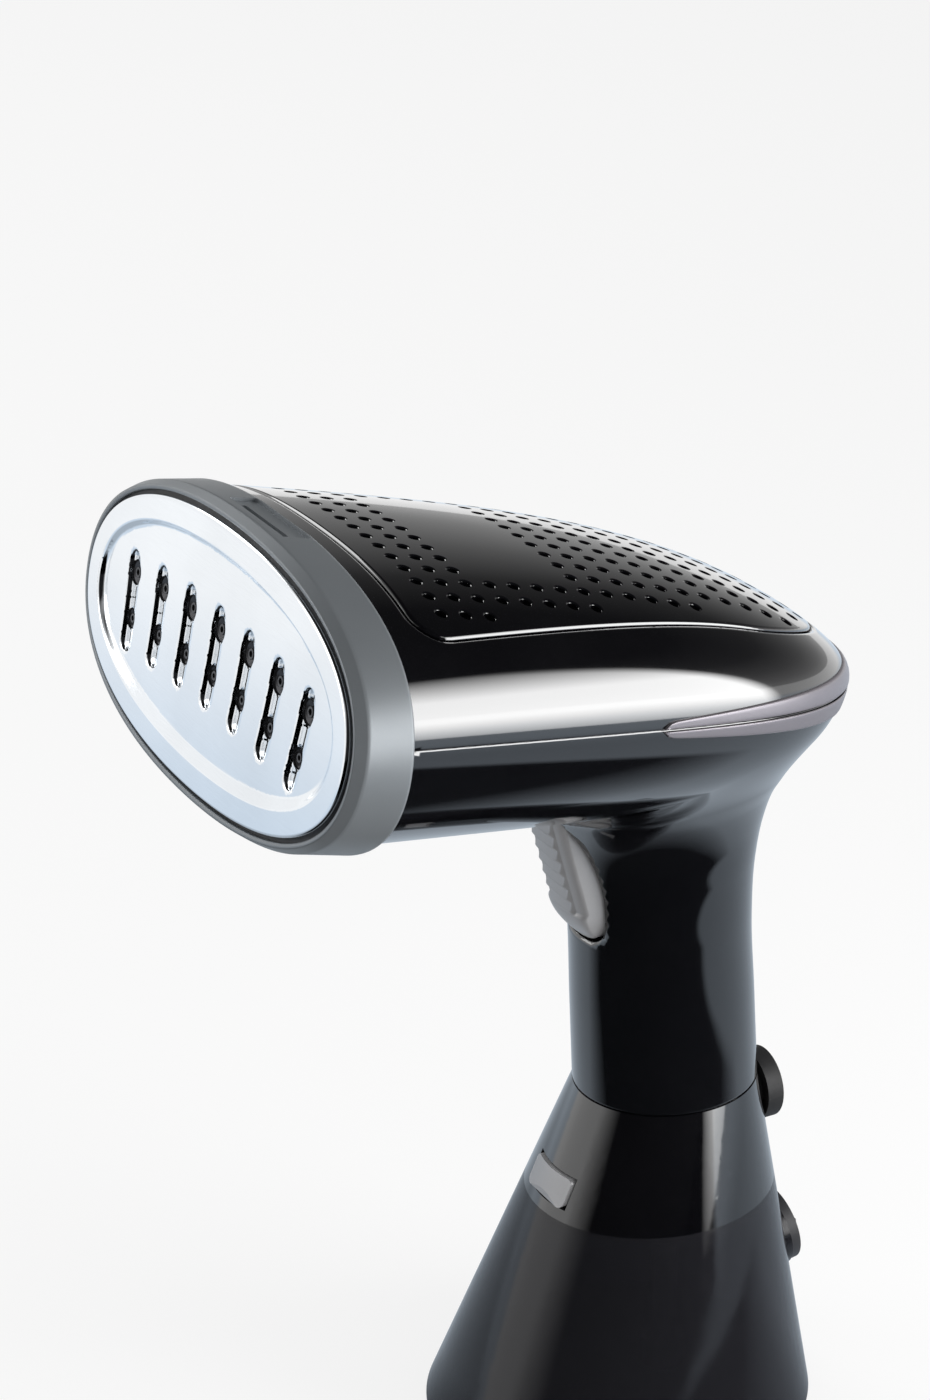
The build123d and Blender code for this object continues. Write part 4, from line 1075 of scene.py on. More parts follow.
@dataclass
class FrontRing:
    """Satin ring round the steam plate, with the accessory pocket on top."""

    gap: float = 1.7
    overhang: float = 0.7  # of the front lip, over the gasket
    growth: float = 3.4
    lip: float = 2.3
    front: float = -1.8
    bevel: float = 2.4
    rear: float = 17.9
    rear_half_width: float = 66.6
    rear_rise: float = 32.6
    rear_drop: float = 34.4
    rear_powers: tuple[float, float] = (2.5, 2.25)
    web: float = 4.0
    web_inset: float = 2.0  # how far the web reaches inside the plate's outline
    seam_turn: float = 0.4
    seam_depth: float = 6.0
    pocket: tuple[float, float, float] = (27.2, 3.2, 9.8)  # width, front and rear
    pocket_depth: float = 1.2
    pocket_rim: float = 0.6
    rim_depth: float = 0.35
    slit: tuple[float, float, float] = (21.2, 3.7, 5.9)
    slit_depth: float = 1.4
    count: int = 90

    def build(self, finish: "Finish") -> bpy.types.Object:
        """Turns the ring and cuts its pocket.

        Args:
            finish: The finish.

        Returns:
            The ring.
        """
        piece = Moulding("front_ring_moulding")
        rear_sizes = (self.rear_half_width, self.rear_rise, self.rear_drop)
        rear_loop = rounded_loop(*rear_sizes, PLATE_LEVEL, self.rear_powers, self.count)
        start_loop = nose_loop(self.growth, self.count)
        first = head_place(start_loop[:, 0], self.front + self.bevel, start_loop[:, 1])
        last = head_place(rear_loop[:, 0], self.rear, rear_loop[:, 1])
        side = [first + (last - first) * s for s in (0.0, 0.045)]
        seam_at = self._seam_share(start_loop, rear_loop)
        seam = first + (last - first) * (seam_at - 0.03)[:, None]
        edge = first + (last - first) * seam_at[:, None]
        middle = (side[1] + seam) / 2
        centre = edge.mean(axis=0)
        inner = edge + unit(centre - edge) * self.seam_turn
        deep = edge + unit(centre - edge) * self.seam_depth
        mouth = self.gap - self.overhang
        bore = [self._nose(self.gap, self.web), self._nose(mouth, self.front + 0.5)]
        lips = [self._nose(mouth + 0.15, self.front + 0.1), self._nose(self.gap, self.front)]
        lips += [self._nose(self.lip - 0.05, self.front + 0.06)]
        bevels = [self._nose(self.growth - 0.12, self.front + self.bevel - 0.28), first]
        rows = [deep, inner, edge, seam, middle, side[1], *bevels[::-1], *lips[::-1], *bore[::-1]]
        piece.add_hoops(rows, rounded=(1, 2, 5, 6, 8, 9, 10))
        piece.add_hoops([self._nose(self.gap, self.web), self._nose(-self.web_inset, self.web)])
        ring = piece.build(finish, ["front_ring"])
        width, near, far = self.pocket
        rim = self.pocket_rim
        top = PLATE_LEVEL + PLATE_RISE + self.growth
        floor = top - self.pocket_depth
        carve(ring, self._block((width + 2 * rim, near - rim, far + rim), top - self.rim_depth))
        carve(ring, self._block(self.pocket, floor))
        carve(ring, self._block(self.slit, floor - self.slit_depth))
        return ring

    def _nose(self, growth: float, behind: float) -> Array:
        """The plate's outline, grown, at a distance behind."""
        loop = nose_loop(growth, self.count)
        return head_place(loop[:, 0], behind, loop[:, 1])

    def _seam_share(self, near: Array, far: Array) -> Array:
        """Share of the way back at which each line along the ring meets the seam.

        Args:
            near: The ring's front outline.
            far: Its rear outline.

        Returns:
            The shares.
        """
        lean = math.tan(math.radians(HEAD.seam_lean))
        start = self.front + self.bevel
        slope = (self.rear - start) + (far[:, 1] - near[:, 1]) * lean
        return (HEAD.seam_behind - near[:, 1] * lean - start) / slope

    def _block(self, span: tuple[float, float, float], floor: float) -> bpy.types.Object:
        """A cutter that stands on a floor, given its width, front and rear.

        Args:
            span: Its width, front and rear.
            floor: Height of its underside.

        Returns:
            The cutter.
        """
        width, near, far = span
        corner = min(0.6, (far - near) / 3)
        plan = box_loop((-width / 2, near), (width / 2, far), corner, 20.0)
        return plain_solid([head_place(plan[:, 0], plan[:, 1], level) for level in (floor, floor + 6.0)])


def plain_solid(hoops: Sequence[Array]) -> bpy.types.Object:
    """A closed solid through rows of points, for cutting.

    Args:
        hoops: The rows, from one end to the other.

    Returns:
        The solid.
    """
    n = len(hoops[0])
    points = np.vstack(hoops) * MM
    faces = [list(range(n))[::-1], list(range(len(points) - n, len(points)))]
    for start in range(0, len(points) - n, n):
        for i in range(n):
            then = (i + 1) % n
            faces.append([start + i, start + then, start + n + then, start + n + i])
    mesh = bpy.data.meshes.new("cutter")
    mesh.from_pydata(points.tolist(), [], faces)
    cutter = bpy.data.objects.new("cutter", mesh)
    bpy.context.scene.collection.objects.link(cutter)
    return cutter


def carve(piece: bpy.types.Object, cutter: bpy.types.Object) -> None:
    """Cuts one solid out of a piece and keeps the result as the piece's own mesh.

    Args:
        piece: The piece.
        cutter: The solid, which is used up.
    """
    cut = piece.modifiers.new("cut", "BOOLEAN")
    cut.operation = "DIFFERENCE"
    cut.solver = "EXACT"
    cut.object = cutter
    evaluated = piece.evaluated_get(bpy.context.evaluated_depsgraph_get())
    carved = bpy.data.meshes.new_from_object(evaluated)
    piece.modifiers.clear()
    carved.name = piece.name
    piece.data = carved
    bpy.data.objects.remove(cutter)


@dataclass
class UpperShell:
    """Glossy upper half of the head, open under the cover."""

    wall: float = 2.2
    gap: float = 0.2
    edge: tuple[float, float, float] = (1.2, 0.5, 65.0)  # width, drop and lean of the rounded edge

    def build(self, finish: "Finish") -> bpy.types.Object:
        """Moulds the shell with rolled edges at the cover and along the parting line.

        Args:
            finish: The finish.

        Returns:
            The shell.
        """
        outer, filler = HEAD.skin_lines(True)
        hole = HEAD.flat_of(COVER.loop(self.gap), True)
        lines = [HEAD.flat_of(COVER.loop(self.gap + d), True) for d in (0.4, 0.8, 1.2)]
        flat, faces = triangulated(outer, [hole], lines, filler)
        points, normals = HEAD.place(flat, True), HEAD.normals(flat, True)
        inner = points - normals * self.wall
        points, normals = rolled_edge(points, normals, HEAD.place(hole, True), *self.edge)
        points, normals = HEAD.roll_parting(points, normals, True)
        piece = Moulding("upper_shell_moulding")
        piece.add_wall(points, faces, normals, inner)
        return piece.build(finish, ["upper_shell"])


@dataclass
class TopCover:
    """Perforated cover let into the upper shell."""

    wall: float = 1.8
    pitch: float = 6.0
    radius: float = 1.25
    countersink: float = 0.45
    sink_lean: float = 48.0
    sink_drop: float = 0.35
    gap: float = 0.15
    edge: tuple[float, float, float] = (1.1, 0.5, 65.0)  # width, drop and lean of the rounded edge
    first: float = 27.0
    rows: int = 7
    front_columns: int = 3
    blank_until: int = 7
    full_rows_from: int = 4
    margin: float = 6.5
    side_margin_eased: float = 1.5
    tail_steepness: float = 2.6

    def perforations(self) -> list[tuple[float, float]]:
        """Plan positions of the perforations: a square grid, bare in the middle.

        Returns:
            Across and behind of each.
        """
        spots = []
        columns = int((COVER.rear - self.first) / self.pitch)
        for row in range(-self.rows, self.rows + 1):
            for column in range(columns + 1):
                across, behind = row * self.pitch, self.first + column * self.pitch
                bare = abs(row) <= self.full_rows_from and self.front_columns <= column < self.blank_until
                if not bare and abs(across) <= self._limit(behind) - self.margin:
                    spots.append((across, behind))
        return spots

    def _limit(self, behind: float) -> float:
        """Half width that the perforations follow this far back.

        Args:
            behind: The distance back.

        Returns:
            The half width.
        """
        if behind <= COVER.tail_start:
            return COVER.half_width - COVER.narrowing * (behind - COVER.front) + self.side_margin_eased
        share = min((behind - COVER.tail_start) / (COVER.rear - COVER.tail_start), 1)
        widest = COVER.half_width - COVER.narrowing * (COVER.tail_start - COVER.front)
        return widest * math.sqrt(1 - share**self.tail_steepness)

    def build(self, finish: "Finish") -> bpy.types.Object:
        """Moulds the cover with its countersunk perforations and rolled edge.

        Args:
            finish: The finish.

        Returns:
            The cover.
        """
        piece = Moulding("top_cover_perforated")
        spots = self.perforations()
        outer = COVER.loop(-self.gap)
        lines = [COVER.loop(-self.gap - d) for d in (0.35, 0.7, 1.1)]
        holes = [circle_loop(spot, self.radius, 18) for spot in spots]
        sinks = [circle_loop(spot, self.radius + self.countersink, 20) for spot in spots]
        filler = grid_points((-52, 17), (52, 149), 2.0)
        flat, faces = triangulated(outer, holes, lines + sinks, filler)

        def place(at: Array) -> Array:
            """Points of the cover's skin for plan positions."""
            up = HEAD.height_at(at[:, 0], at[:, 1], True)
            return head_place(at[:, 0], at[:, 1], PARTING + up)

        base = place(flat)
        calm = np.where(np.abs(flat) < 0.05, 0.05, flat)
        up_way = head_turn(0, 0, 1)
        normals = turned_out(surface_normals(place, calm), up_way)
        inner = base - normals * self.wall
        points, normals = rolled_edge(base, normals, place(outer), *self.edge)
        centres = np.array(spots)
        near, gap = nearest(flat, centres)
        rim = gap < self.radius + 0.02
        towards = (centres[near] - flat)[rim]
        way = head_turn(towards[:, 0], towards[:, 1], np.zeros(len(towards)))
        normals[rim] = tilted(normals[rim], way, np.full(len(way), math.radians(self.sink_lean)))
        points[rim] -= up_way * self.sink_drop
        piece.add_wall(points, faces, normals, inner)
        return piece.build(finish, ["top_cover"])


@dataclass
class AccentStrip:
    """Satin strip laid on the skin round the tail, on one side of the parting line."""

    upper: bool
    start: float = 81.3
    groove: float = 0.28
    tip: float = 4.0  # length of the rounded tip
    blunt: float = 1.5  # height of the rounded tip
    spread: float = 4.6  # more height gained by the tail
    shares: tuple = (0, 0, 0.06, 0.14, 0.3, 0.5, 0.7, 0.86, 0.94, 1, 1)  # the section, up the strip
    lifts: tuple = (-0.3, 0.35, 0.55, 0.6, 0.6, 0.6, 0.6, 0.6, 0.52, 0.3, -0.3)  # and off the skin

    def heights(self, behind: Array) -> Array:
        """Height of the strip's outer edge from the parting line.

        Args:
            behind: Distances back.

        Returns:
            The heights.
        """
        tip = np.clip((behind - self.start) / self.tip, 0, 1)
        share = np.clip((behind - self.start) / (HEAD.length - self.start), 0, 1)
        return self.groove + self.blunt * np.sqrt(1 - (1 - tip) ** 2) + self.spread * share**0.9

    def build(self, finish: "Finish", name: str, node: str) -> bpy.types.Object:
        """Wraps the strip round the tail.

        Args:
            finish: The strip's finish.
            name: The piece's name.
            node: The solid it stands for.

        Returns:
            The strip.
        """
        low = float(HEAD.along_at(self.start))
        behind = HEAD.behind_at(np.linspace(low, HEAD.run, 90))
        width, _ = HEAD.sizes(behind, True)
        right = np.stack([width, behind], 1)
        path = np.vstack([right, right[-2::-1] * np.array([-1.0, 1.0])])
        run = np.gradient(path, axis=0)
        out = unit(np.stack([run[:, 1], -run[:, 0]], 1))
        middle = len(right) - 1
        out[middle] = (0.0, 1.0)
        top = self.heights(path[:, 1])
        grid = []
        for share, lift in zip(self.shares, self.lifts):
            up = self.groove + (top - self.groove) * share
            inset = self._inset(path, out, up)
            plan = path - out * inset[:, None]
            base = head_place(plan[:, 0], plan[:, 1], PARTING + (up if self.upper else -up))
            lean = unit(head_turn(out[:, 0], out[:, 1], np.zeros(len(out))))
            grid.append(base + lean * lift)
        piece = Moulding(name)
        grid = np.array(grid)
        normals = unit(np.cross(np.gradient(grid, axis=0), np.gradient(grid, axis=1)))
        piece.add_grid(grid, turned_out(normals, grid - head_place(0, 100, PARTING)))
        return piece.build(finish, [node])

    def _inset(self, path: Array, out: Array, up: Array) -> Array:
        """How far inside the widest outline the skin reaches this height.

        Args:
            path: The widest outline.
            out: Its outward directions.
            up: Heights from the parting line.

        Returns:
            The distances.
        """
        low, high = np.zeros(len(path)), np.full(len(path), 14.0)
        for _ in range(36):
            middle = (low + high) / 2
            at = path - out * middle[:, None]
            enough = HEAD.height_at(at[:, 0], at[:, 1], self.upper) > up
            low, high = np.where(enough, low, middle), np.where(enough, middle, high)
        return high


# ---------------- the lower shell with its handle
@dataclass
class LowerShell:
    """Glossy lower half of the head that flows into the handle, in one moulding."""

    wall: float = 2.2
    heights: tuple = (0.0, 23.0, 45.0, 60.0, 71.0, 79.0, 87.0, 94.0, 100.0)
    half_widths: tuple = (21.1, 20.9, 20.8, 21.2, 22.8, 26.0, 31.0, 35.0, 38.0)
    half_depths: tuple = (23.2, 22.9, 22.6, 23.6, 27.0, 31.0, 36.5, 39.5, 42.0)
    shifts: tuple = (0.0, 1.4, 2.7, 3.3, 4.8, 6.5, 8.0, 10.0, 11.5)
    girth: float = 24.0  # flat map units per radian round the handle
    rise: float = 85.0  # flat map units up to the blend
    blend: float = 0.3  # the blend's share beyond that
    blend_down: float = 6.5
    blend_out: float = 7.0
    blend_shorter: float = 3.6  # how much less it reaches out at the back
    blend_pull: float = 0.6
    meeting_span: tuple[float, float] = (150.0, 189.0)  # heights between which handle and head meet
    window_half: float = 9.0
    window_low: float = 134.2
    window_side: float = 162.0  # where its straight sides start to follow the blend
    window_corner: float = 5.0
    window_edge: tuple[float, float, float] = (0.8, 0.3, 55.0)  # width, drop and lean
    foot_edge: tuple[float, float, float] = (0.7, 0.25, 55.0)
    step: float = 1.9
    fine_step: float = 1.1  # near and in the blend
    fine_from: float = 0.93  # as a share of the rise
    table: dict = field(default_factory=dict)

    def _eased(self, height: Array, values: tuple) -> Array:
        """Smooth curve through one column of the handle's sections.

        Args:
            height: Heights above the foot.
            values: The sections' values.

        Returns:
            The value at each height.
        """
        known = np.array(self.heights)
        column = np.array(values)
        slope = np.gradient(column, known)
        k = np.clip(np.searchsorted(known, height) - 1, 0, len(known) - 2)
        span = known[k + 1] - known[k]
        t = (height - known[k]) / span
        return curved(column[k], column[k + 1], slope[k] * span, slope[k + 1] * span, t)

    def grip(self, turn: Array, z: Array) -> Array:
        """Points of the handle round its axis, from 0 at the front, at given heights.

        Args:
            turn: Angles round the axis.
            z: Heights.

        Returns:
            The points.
        """
        up = z - HANDLE_FOOT
        width, depth = self._eased(up, self.half_widths), self._eased(up, self.half_depths)
        shift = self._eased(up, self.shifts)
        return np.stack([width * np.sin(turn), -shift - depth * np.cos(turn), z + 0 * turn], axis=-1)

    def belly(self, x: Array, y: Array) -> Array:
        """Height of the head's underside above a plan position of the object.

        Args:
            x: Places across.
            y: Places front to back.

        Returns:
            The heights.
        """
        above = np.full(np.shape(x), -25.0)  # a first guess, then closer and closer
        for _ in range(30):
            behind = (y - NOSE_Y - above * math.sin(TILT)) / math.cos(TILT)
            above = PARTING - HEAD.height_at(x, behind, False)
        return NOSE_Z - behind * math.sin(TILT) + above * math.cos(TILT)

    def prepare(self) -> None:
        """Works out where the handle meets the head, all the way round."""
        turn = np.linspace(-math.pi, math.pi, 721)
        low, high = (np.full_like(turn, level) for level in self.meeting_span)
        for _ in range(40):
            middle = (low + high) / 2
            at = self.grip(turn, middle)
            under = self.belly(at[:, 0], at[:, 1]) > middle
            low, high = np.where(under, middle, low), np.where(under, high, middle)
        meeting = self.grip(turn, low)
        start_z = low - self.blend_down
        start = self.grip(turn, start_z)
        climb = unit(self.grip(turn, start_z + 0.1) - self.grip(turn, start_z - 0.1))
        around = self.grip(turn + 0.01, low) - self.grip(turn - 0.01, low)
        out = unit(np.stack([around[:, 1], -around[:, 0]], 1))
        out = turned_out(out, meeting[:, :2] - [0.0, -8.0])
        reach = self.blend_out - self.blend_shorter * smooth_step(np.abs(turn), 1.7, 3.0)
        plan = meeting[:, :2] + out * reach[:, None]
        nearer, end, further = (self._on_belly(plan + out * move) for move in (-0.1, 0.0, 0.1))
        leave = unit(further - nearer)
        below = np.linalg.norm(meeting - start, axis=1, keepdims=True)
        beyond = np.linalg.norm(meeting - end, axis=1, keepdims=True)
        self.table = {
            "turn": turn,
            "start_z": start_z,
            "start": start,
            "first": start + climb * below * self.blend_pull,
            "second": end - leave * beyond * self.blend_pull,
            "end": end,
        }

    def _on_belly(self, plan: Array) -> Array:
        """Points of the head's underside above plan positions."""
        return np.column_stack([plan, self.belly(plan[:, 0], plan[:, 1])])

    def _look_up(self, name: str, turn: Array) -> Array:
        """A table's value, or point, at a turn round the handle.

        Args:
            name: The table's name.
            turn: Angles round the axis.

        Returns:
            The values.
        """
        known, values = self.table["turn"], self.table[name]
        wrapped = (turn + math.pi) % (2 * math.pi) - math.pi
        if values.ndim == 1:
            return np.interp(wrapped, known, values)
        return np.stack([np.interp(wrapped, known, values[:, k]) for k in range(3)], axis=-1)

    def place(self, flat: Array) -> Array:
        """Points of the handle and its blend for flat map coordinates.

        Args:
            flat: Flat map coordinates.

        Returns:
            The points.
        """
        turn = flat[:, 0] / self.girth
        share = flat[:, 1] / self.rise
        start_z = self._look_up("start_z", turn)
        z = HANDLE_FOOT + np.minimum(share, 1.0) * (start_z - HANDLE_FOOT)
        straight = self.grip(turn, z)
        t = np.clip((share - 1.0) / self.blend, 0, 1)[:, None]
        p = 1 - t
        bent = (
            p**3 * self._look_up("start", turn)
            + 3 * p**2 * t * self._look_up("first", turn)
            + 3 * p * t**2 * self._look_up("second", turn)
            + t**3 * self._look_up("end", turn)
        )
        return np.where((share > 1.0)[:, None], bent, straight)

    def _window(self) -> Array:
        """Flat map line of the trigger's window, anticlockwise.

        Returns:
            The closed line.
        """
        half, low, r = self.window_half, self.window_low, self.window_corner
        turn = np.radians(np.linspace(0, 90, 9))
        left = np.stack([-half + r - r * np.cos(turn), low + r - r * np.sin(turn)], 1)
        right = np.stack([half - r + r * np.sin(turn), low + r - r * np.cos(turn)], 1)
        ends = np.array([[-half, self.window_side], [half, self.window_side]])
        line = spaced(np.vstack([ends[:1], left, right, ends[1:]]), 0.8, False)
        width = self._eased(line[:, 1] - HANDLE_FOOT, self.half_widths)
        angle = np.arcsin(line[:, 0] / width)
        share = (line[:, 1] - HANDLE_FOOT) / (self._look_up("start_z", angle) - HANDLE_FOOT)
        sides = np.stack([angle * self.girth, share * self.rise], 1)
        top = self.rise * (1 + self.blend * 0.5)
        climb = np.arange(sides[-1, 1] + 0.9, top, 0.9)
        flank = np.stack([np.full_like(climb, sides[-1, 0]), climb], 1)
        for _ in range(8):
            flank[:, 0] *= half / self.place(flank)[:, 0]
        lid = np.stack([np.linspace(flank[-1, 0], -flank[-1, 0], 24), np.full(24, top)], 1)
        back = flank[::-1] * np.array([-1.0, 1.0])
        return np.vstack([sides, flank, lid, back])

    def build(self, finish: "Finish") -> bpy.types.Object:
        """Moulds the shell: belly, blend and handle in one wall.

        Args:
            finish: The finish.

        Returns:
            The shell.
        """
        self.prepare()
        edge, top = self.girth * math.pi, self.rise * (1 + self.blend)
        border = spaced(np.array([[-edge, 0.0], [edge, 0.0], [edge, top], [-edge, top]]), 1.6)
        window = self._window()
        flat, faces = self._neck(border, window)
        neck, neck_normals = self.place(flat), self._neck_normals(flat)
        rim_flat = border[np.abs(border[:, 1] - top) < 1e-6]
        rim = self.place(np.vstack([rim_flat, [[-edge, top]]]))
        belly, belly_normals, belly_faces = self._belly(rim)
        at_rim = np.abs(flat[:, 1] - top) < 0.02
        match = nearest(neck[at_rim], belly)[0]
        neck_normals[at_rim] = belly_normals[match]
        neck[at_rim] = belly[match]

        points = np.vstack([neck, belly])
        normals = np.vstack([neck_normals, belly_normals])
        inner = points - normals * self.wall
        foot = self.place(np.stack([np.linspace(-edge, edge, 260)[:-1], np.zeros(259)], 1))
        points, normals = rolled_edge(points, normals, self.place(window), *self.window_edge)
        points, normals = rolled_edge(points, normals, foot, *self.foot_edge)
        points, normals = HEAD.roll_parting(points, normals, False)
        piece = Moulding("main_housing_moulding")
        piece.add_wall(points, np.vstack([faces, belly_faces + len(neck)]), normals, inner)
        return piece.build(finish, ["main_housing"])

    def _neck(self, border: Array, window: Array) -> tuple[Array, Array]:
        """Flat map of the handle and its blend, open at the trigger's window.

        Args:
            border: The map's edge.
            window: The window's line in it.

        Returns:
            The map's points and its triangles.
        """
        edge, top = self.girth * math.pi - 0.6, self.rise * (1 + self.blend)
        change = self.rise * self.fine_from
        plain = grid_points((-edge, 0.9), (edge, top), self.step)
        fine = grid_points((-edge, change), (edge, top), self.fine_step)
        return triangulated(border, [window], [], np.vstack([plain[plain[:, 1] < change], fine]))

    def _neck_normals(self, flat: Array) -> Array:
        """Outward normals of the handle and its blend.

        Args:
            flat: Flat map coordinates.

        Returns:
            The unit normals.
        """
        reach = 0.35
        normals = surface_normals(self.place, flat, reach)
        low_rows = flat[:, 1] < 0.4
        normals[low_rows] = surface_normals(self.place, flat[low_rows] + [[0.0, 0.5]], reach)
        radial = self.place(flat) * np.array([1.0, 1.0, 0.0]) + np.array([0.0, 4.0, 0.0])
        straight = flat[:, 1] < self.rise * 0.8
        outward = (normals[straight] * radial[straight]).sum()
        return normals if outward > 0 else -normals

    def _belly(self, rim: Array) -> tuple[Array, Array, Array]:
        """The underside of the head, open where the handle joins it.

        Args:
            rim: Points of the line along which they join.

        Returns:
            The underside's points, normals and triangles.
        """
        turned = HEAD.flat_of(np.stack([rim[:, 0], self._behind(rim)], 1), False)
        keep = np.concatenate([[True], np.linalg.norm(np.diff(turned, axis=0), axis=1) > 1e-3])
        hole = turned[keep]
        if np.linalg.norm(hole[0] - hole[-1]) < 0.05:
            hole = hole[:-1]
        outer, filler = HEAD.skin_lines(False)
        flat, faces = triangulated(outer, [hole], [], filler)
        points = HEAD.place(flat, False)
        match, gap = nearest(points, rim)
        points[gap < 0.08] = rim[match[gap < 0.08]]
        return points, HEAD.normals(flat, False), faces

    def _behind(self, points: Array) -> Array:
        """Distance back along the head's axis of points of the object."""
        return (points[:, 1] - NOSE_Y) * math.cos(TILT) - (points[:, 2] - NOSE_Z) * math.sin(TILT)


@dataclass
class Trigger:
    """Spoon-shaped trigger with a ribbed thumb pad."""

    half_width: float = 8.6
    tip: float = 135.2
    tip_height: float = 7.0  # over which it widens from its lower end
    tip_front: float = 3.0  # how far its lower end turns in, in front and behind
    tip_rear: float = 4.0
    top: float = 172.0
    face: float = -28.4
    lean: float = 15.6
    depth: float = 9.0
    thinning: float = 2.6  # towards its top
    roundness: float = 0.32
    pivot: tuple[float, float] = (-22.0, 172.0)
    hub: float = 4.2
    pad_half: float = 5.2
    pad_sunk: float = 0.9
    rib_pitch: float = 3.6
    rib_depth: float = 1.0
    rib_slope: float = 0.72  # share of each rib that is its long slope
    first_rib: float = 143.5
    row_step: float = 0.3
    nub: tuple[float, float, float] = (148.0, 2.0, -14.8)  # height, radius and end
    around: int = 120

    def row(self, z: float) -> Array:
        """Closed row of points round the trigger at a height.

        Args:
            z: The height.

        Returns:
            The row's points.
        """
        share = min(max((z - self.tip) / self.tip_height, 0.0), 1.0)
        width = self.half_width * (0.5 + 0.5 * math.sqrt(1 - (1 - share) ** 2))
        slope = math.tan(math.radians(self.lean))
        front = self.face - (z - self.tip) * slope + self.tip_front * (1 - share) ** 2
        rear = self.face + self.depth - self.tip_rear * (1 - share) ** 2
        rear -= self.thinning * max(z - self.tip - 4, 0) / (self.top - self.tip - 2)
        n = self.around
        x = width * np.sin(np.linspace(-1, 1, n // 2) * math.pi / 2)
        thumb = front + self.roundness * width * (1 - np.sqrt(np.maximum(1 - (x / width) ** 2, 0)))
        thumb = thumb + self._relief(x, z)
        right = np.stack([np.full(n // 8, width), np.linspace(thumb[-1], rear, n // 8 + 2)[1:-1]], 1)
        back = np.stack([np.linspace(width, -width, n // 4), np.full(n // 4, rear)], 1)
        left = right[::-1] * np.array([-1.0, 1.0])
        flat = np.vstack([np.stack([x, thumb], 1), right, back, left])
        return np.column_stack([flat, np.full(len(flat), z)])

    def _relief(self, x: Array, z: float) -> Array:
        """Ribs of the thumb pad, as setbacks of the front.

        Args:
            x: Places across.
            z: The height.

        Returns:
            The setbacks.
        """
        pad = 1 - smooth_step(np.abs(x), self.pad_half - 0.5, self.pad_half + 0.3)
        step = self.pad_sunk * smooth_step(np.abs(x), self.pad_half - 0.3, self.pad_half + 0.5)
        ribbed = float(smooth_step(np.array(z), self.first_rib - 1.0, self.first_rib + 0.5))
        phase = ((z - self.first_rib) / self.rib_pitch) % 1.0
        tooth = min(phase / self.rib_slope, (1 - phase) / (1 - self.rib_slope))
        return pad * ribbed * self.rib_depth * tooth + step * ribbed

    def build(self, finish: "Finish") -> bpy.types.Object:
        """Moulds the trigger with its hub and the nub that presses the switch.

        Args:
            finish: The finish.

        Returns:
            The trigger.
        """
        tip = self.tip + self.tip_height * np.linspace(0, 1, 16) ** 2
        heights = np.concatenate([tip, np.arange(tip[-1] + self.row_step, self.top, self.row_step)])
        rows = np.array([self.row(z) for z in heights])
        around = np.roll(rows, -1, 1) - np.roll(rows, 1, 1)
        normals = unit(np.cross(around, np.gradient(rows, axis=0)))
        centre = rows.mean(axis=1, keepdims=True)
        if ((rows - centre) * normals).sum() < 0:
            normals = -normals
        piece = Moulding("trigger_spoon")
        piece.add_grid(rows, normals, closed=True)
        piece.add_cap(rows[0], (0, 0.3, -1))
        piece.add_cap(rows[-1], (0, 0, 1))
        loop = circle_loop(self.pivot, self.hub, 40)
        wide = self.half_width - 0.05
        ends = [np.column_stack([np.full(40, x), loop]) for x in (-wide, wide)]
        piece.add_hoops(ends)
        piece.add_cap(ends[0], (-1, 0, 0))
        piece.add_cap(ends[1], (1, 0, 0))
        level, radius, end = self.nub
        nub = []
        for size, y in ((radius, end - 5.6), (radius, end - 0.4), (radius - 0.4, end)):
            loop = circle_loop((0, level), size, 32)
            nub.append(np.stack([loop[:, 0], np.full(32, y), loop[:, 1]], 1))
        piece.add_hoops(nub, flip=True)
        piece.add_cap(nub[-1], (0, 1, 0))
        return piece.build(finish, ["trigger"], Body.TRIGGER)


# ---------------- finishes
class Strand:
    """A value that runs through a material's nodes, with arithmetic."""

    def __init__(self, bench: "Bench", socket: bpy.types.NodeSocket) -> None:
        """Holds a socket of the bench's tree."""
        self.bench = bench
        self.socket = socket

    def __add__(self, other: "Strand | float") -> "Strand":
        """This plus another."""
        return self.bench.sum_up("ADD", self, other)

    def __radd__(self, other: float) -> "Strand":
        """A number plus this."""
        return self.bench.sum_up("ADD", other, self)

    def __sub__(self, other: "Strand | float") -> "Strand":
        """This less another."""
        return self.bench.sum_up("SUBTRACT", self, other)

    def __rsub__(self, other: float) -> "Strand":
        """A number less this."""
        return self.bench.sum_up("SUBTRACT", other, self)

    def __mul__(self, other: "Strand | float") -> "Strand":
        """This times another."""
        return self.bench.sum_up("MULTIPLY", self, other)

    def __rmul__(self, other: float) -> "Strand":
        """A number times this."""
        return self.bench.sum_up("MULTIPLY", other, self)


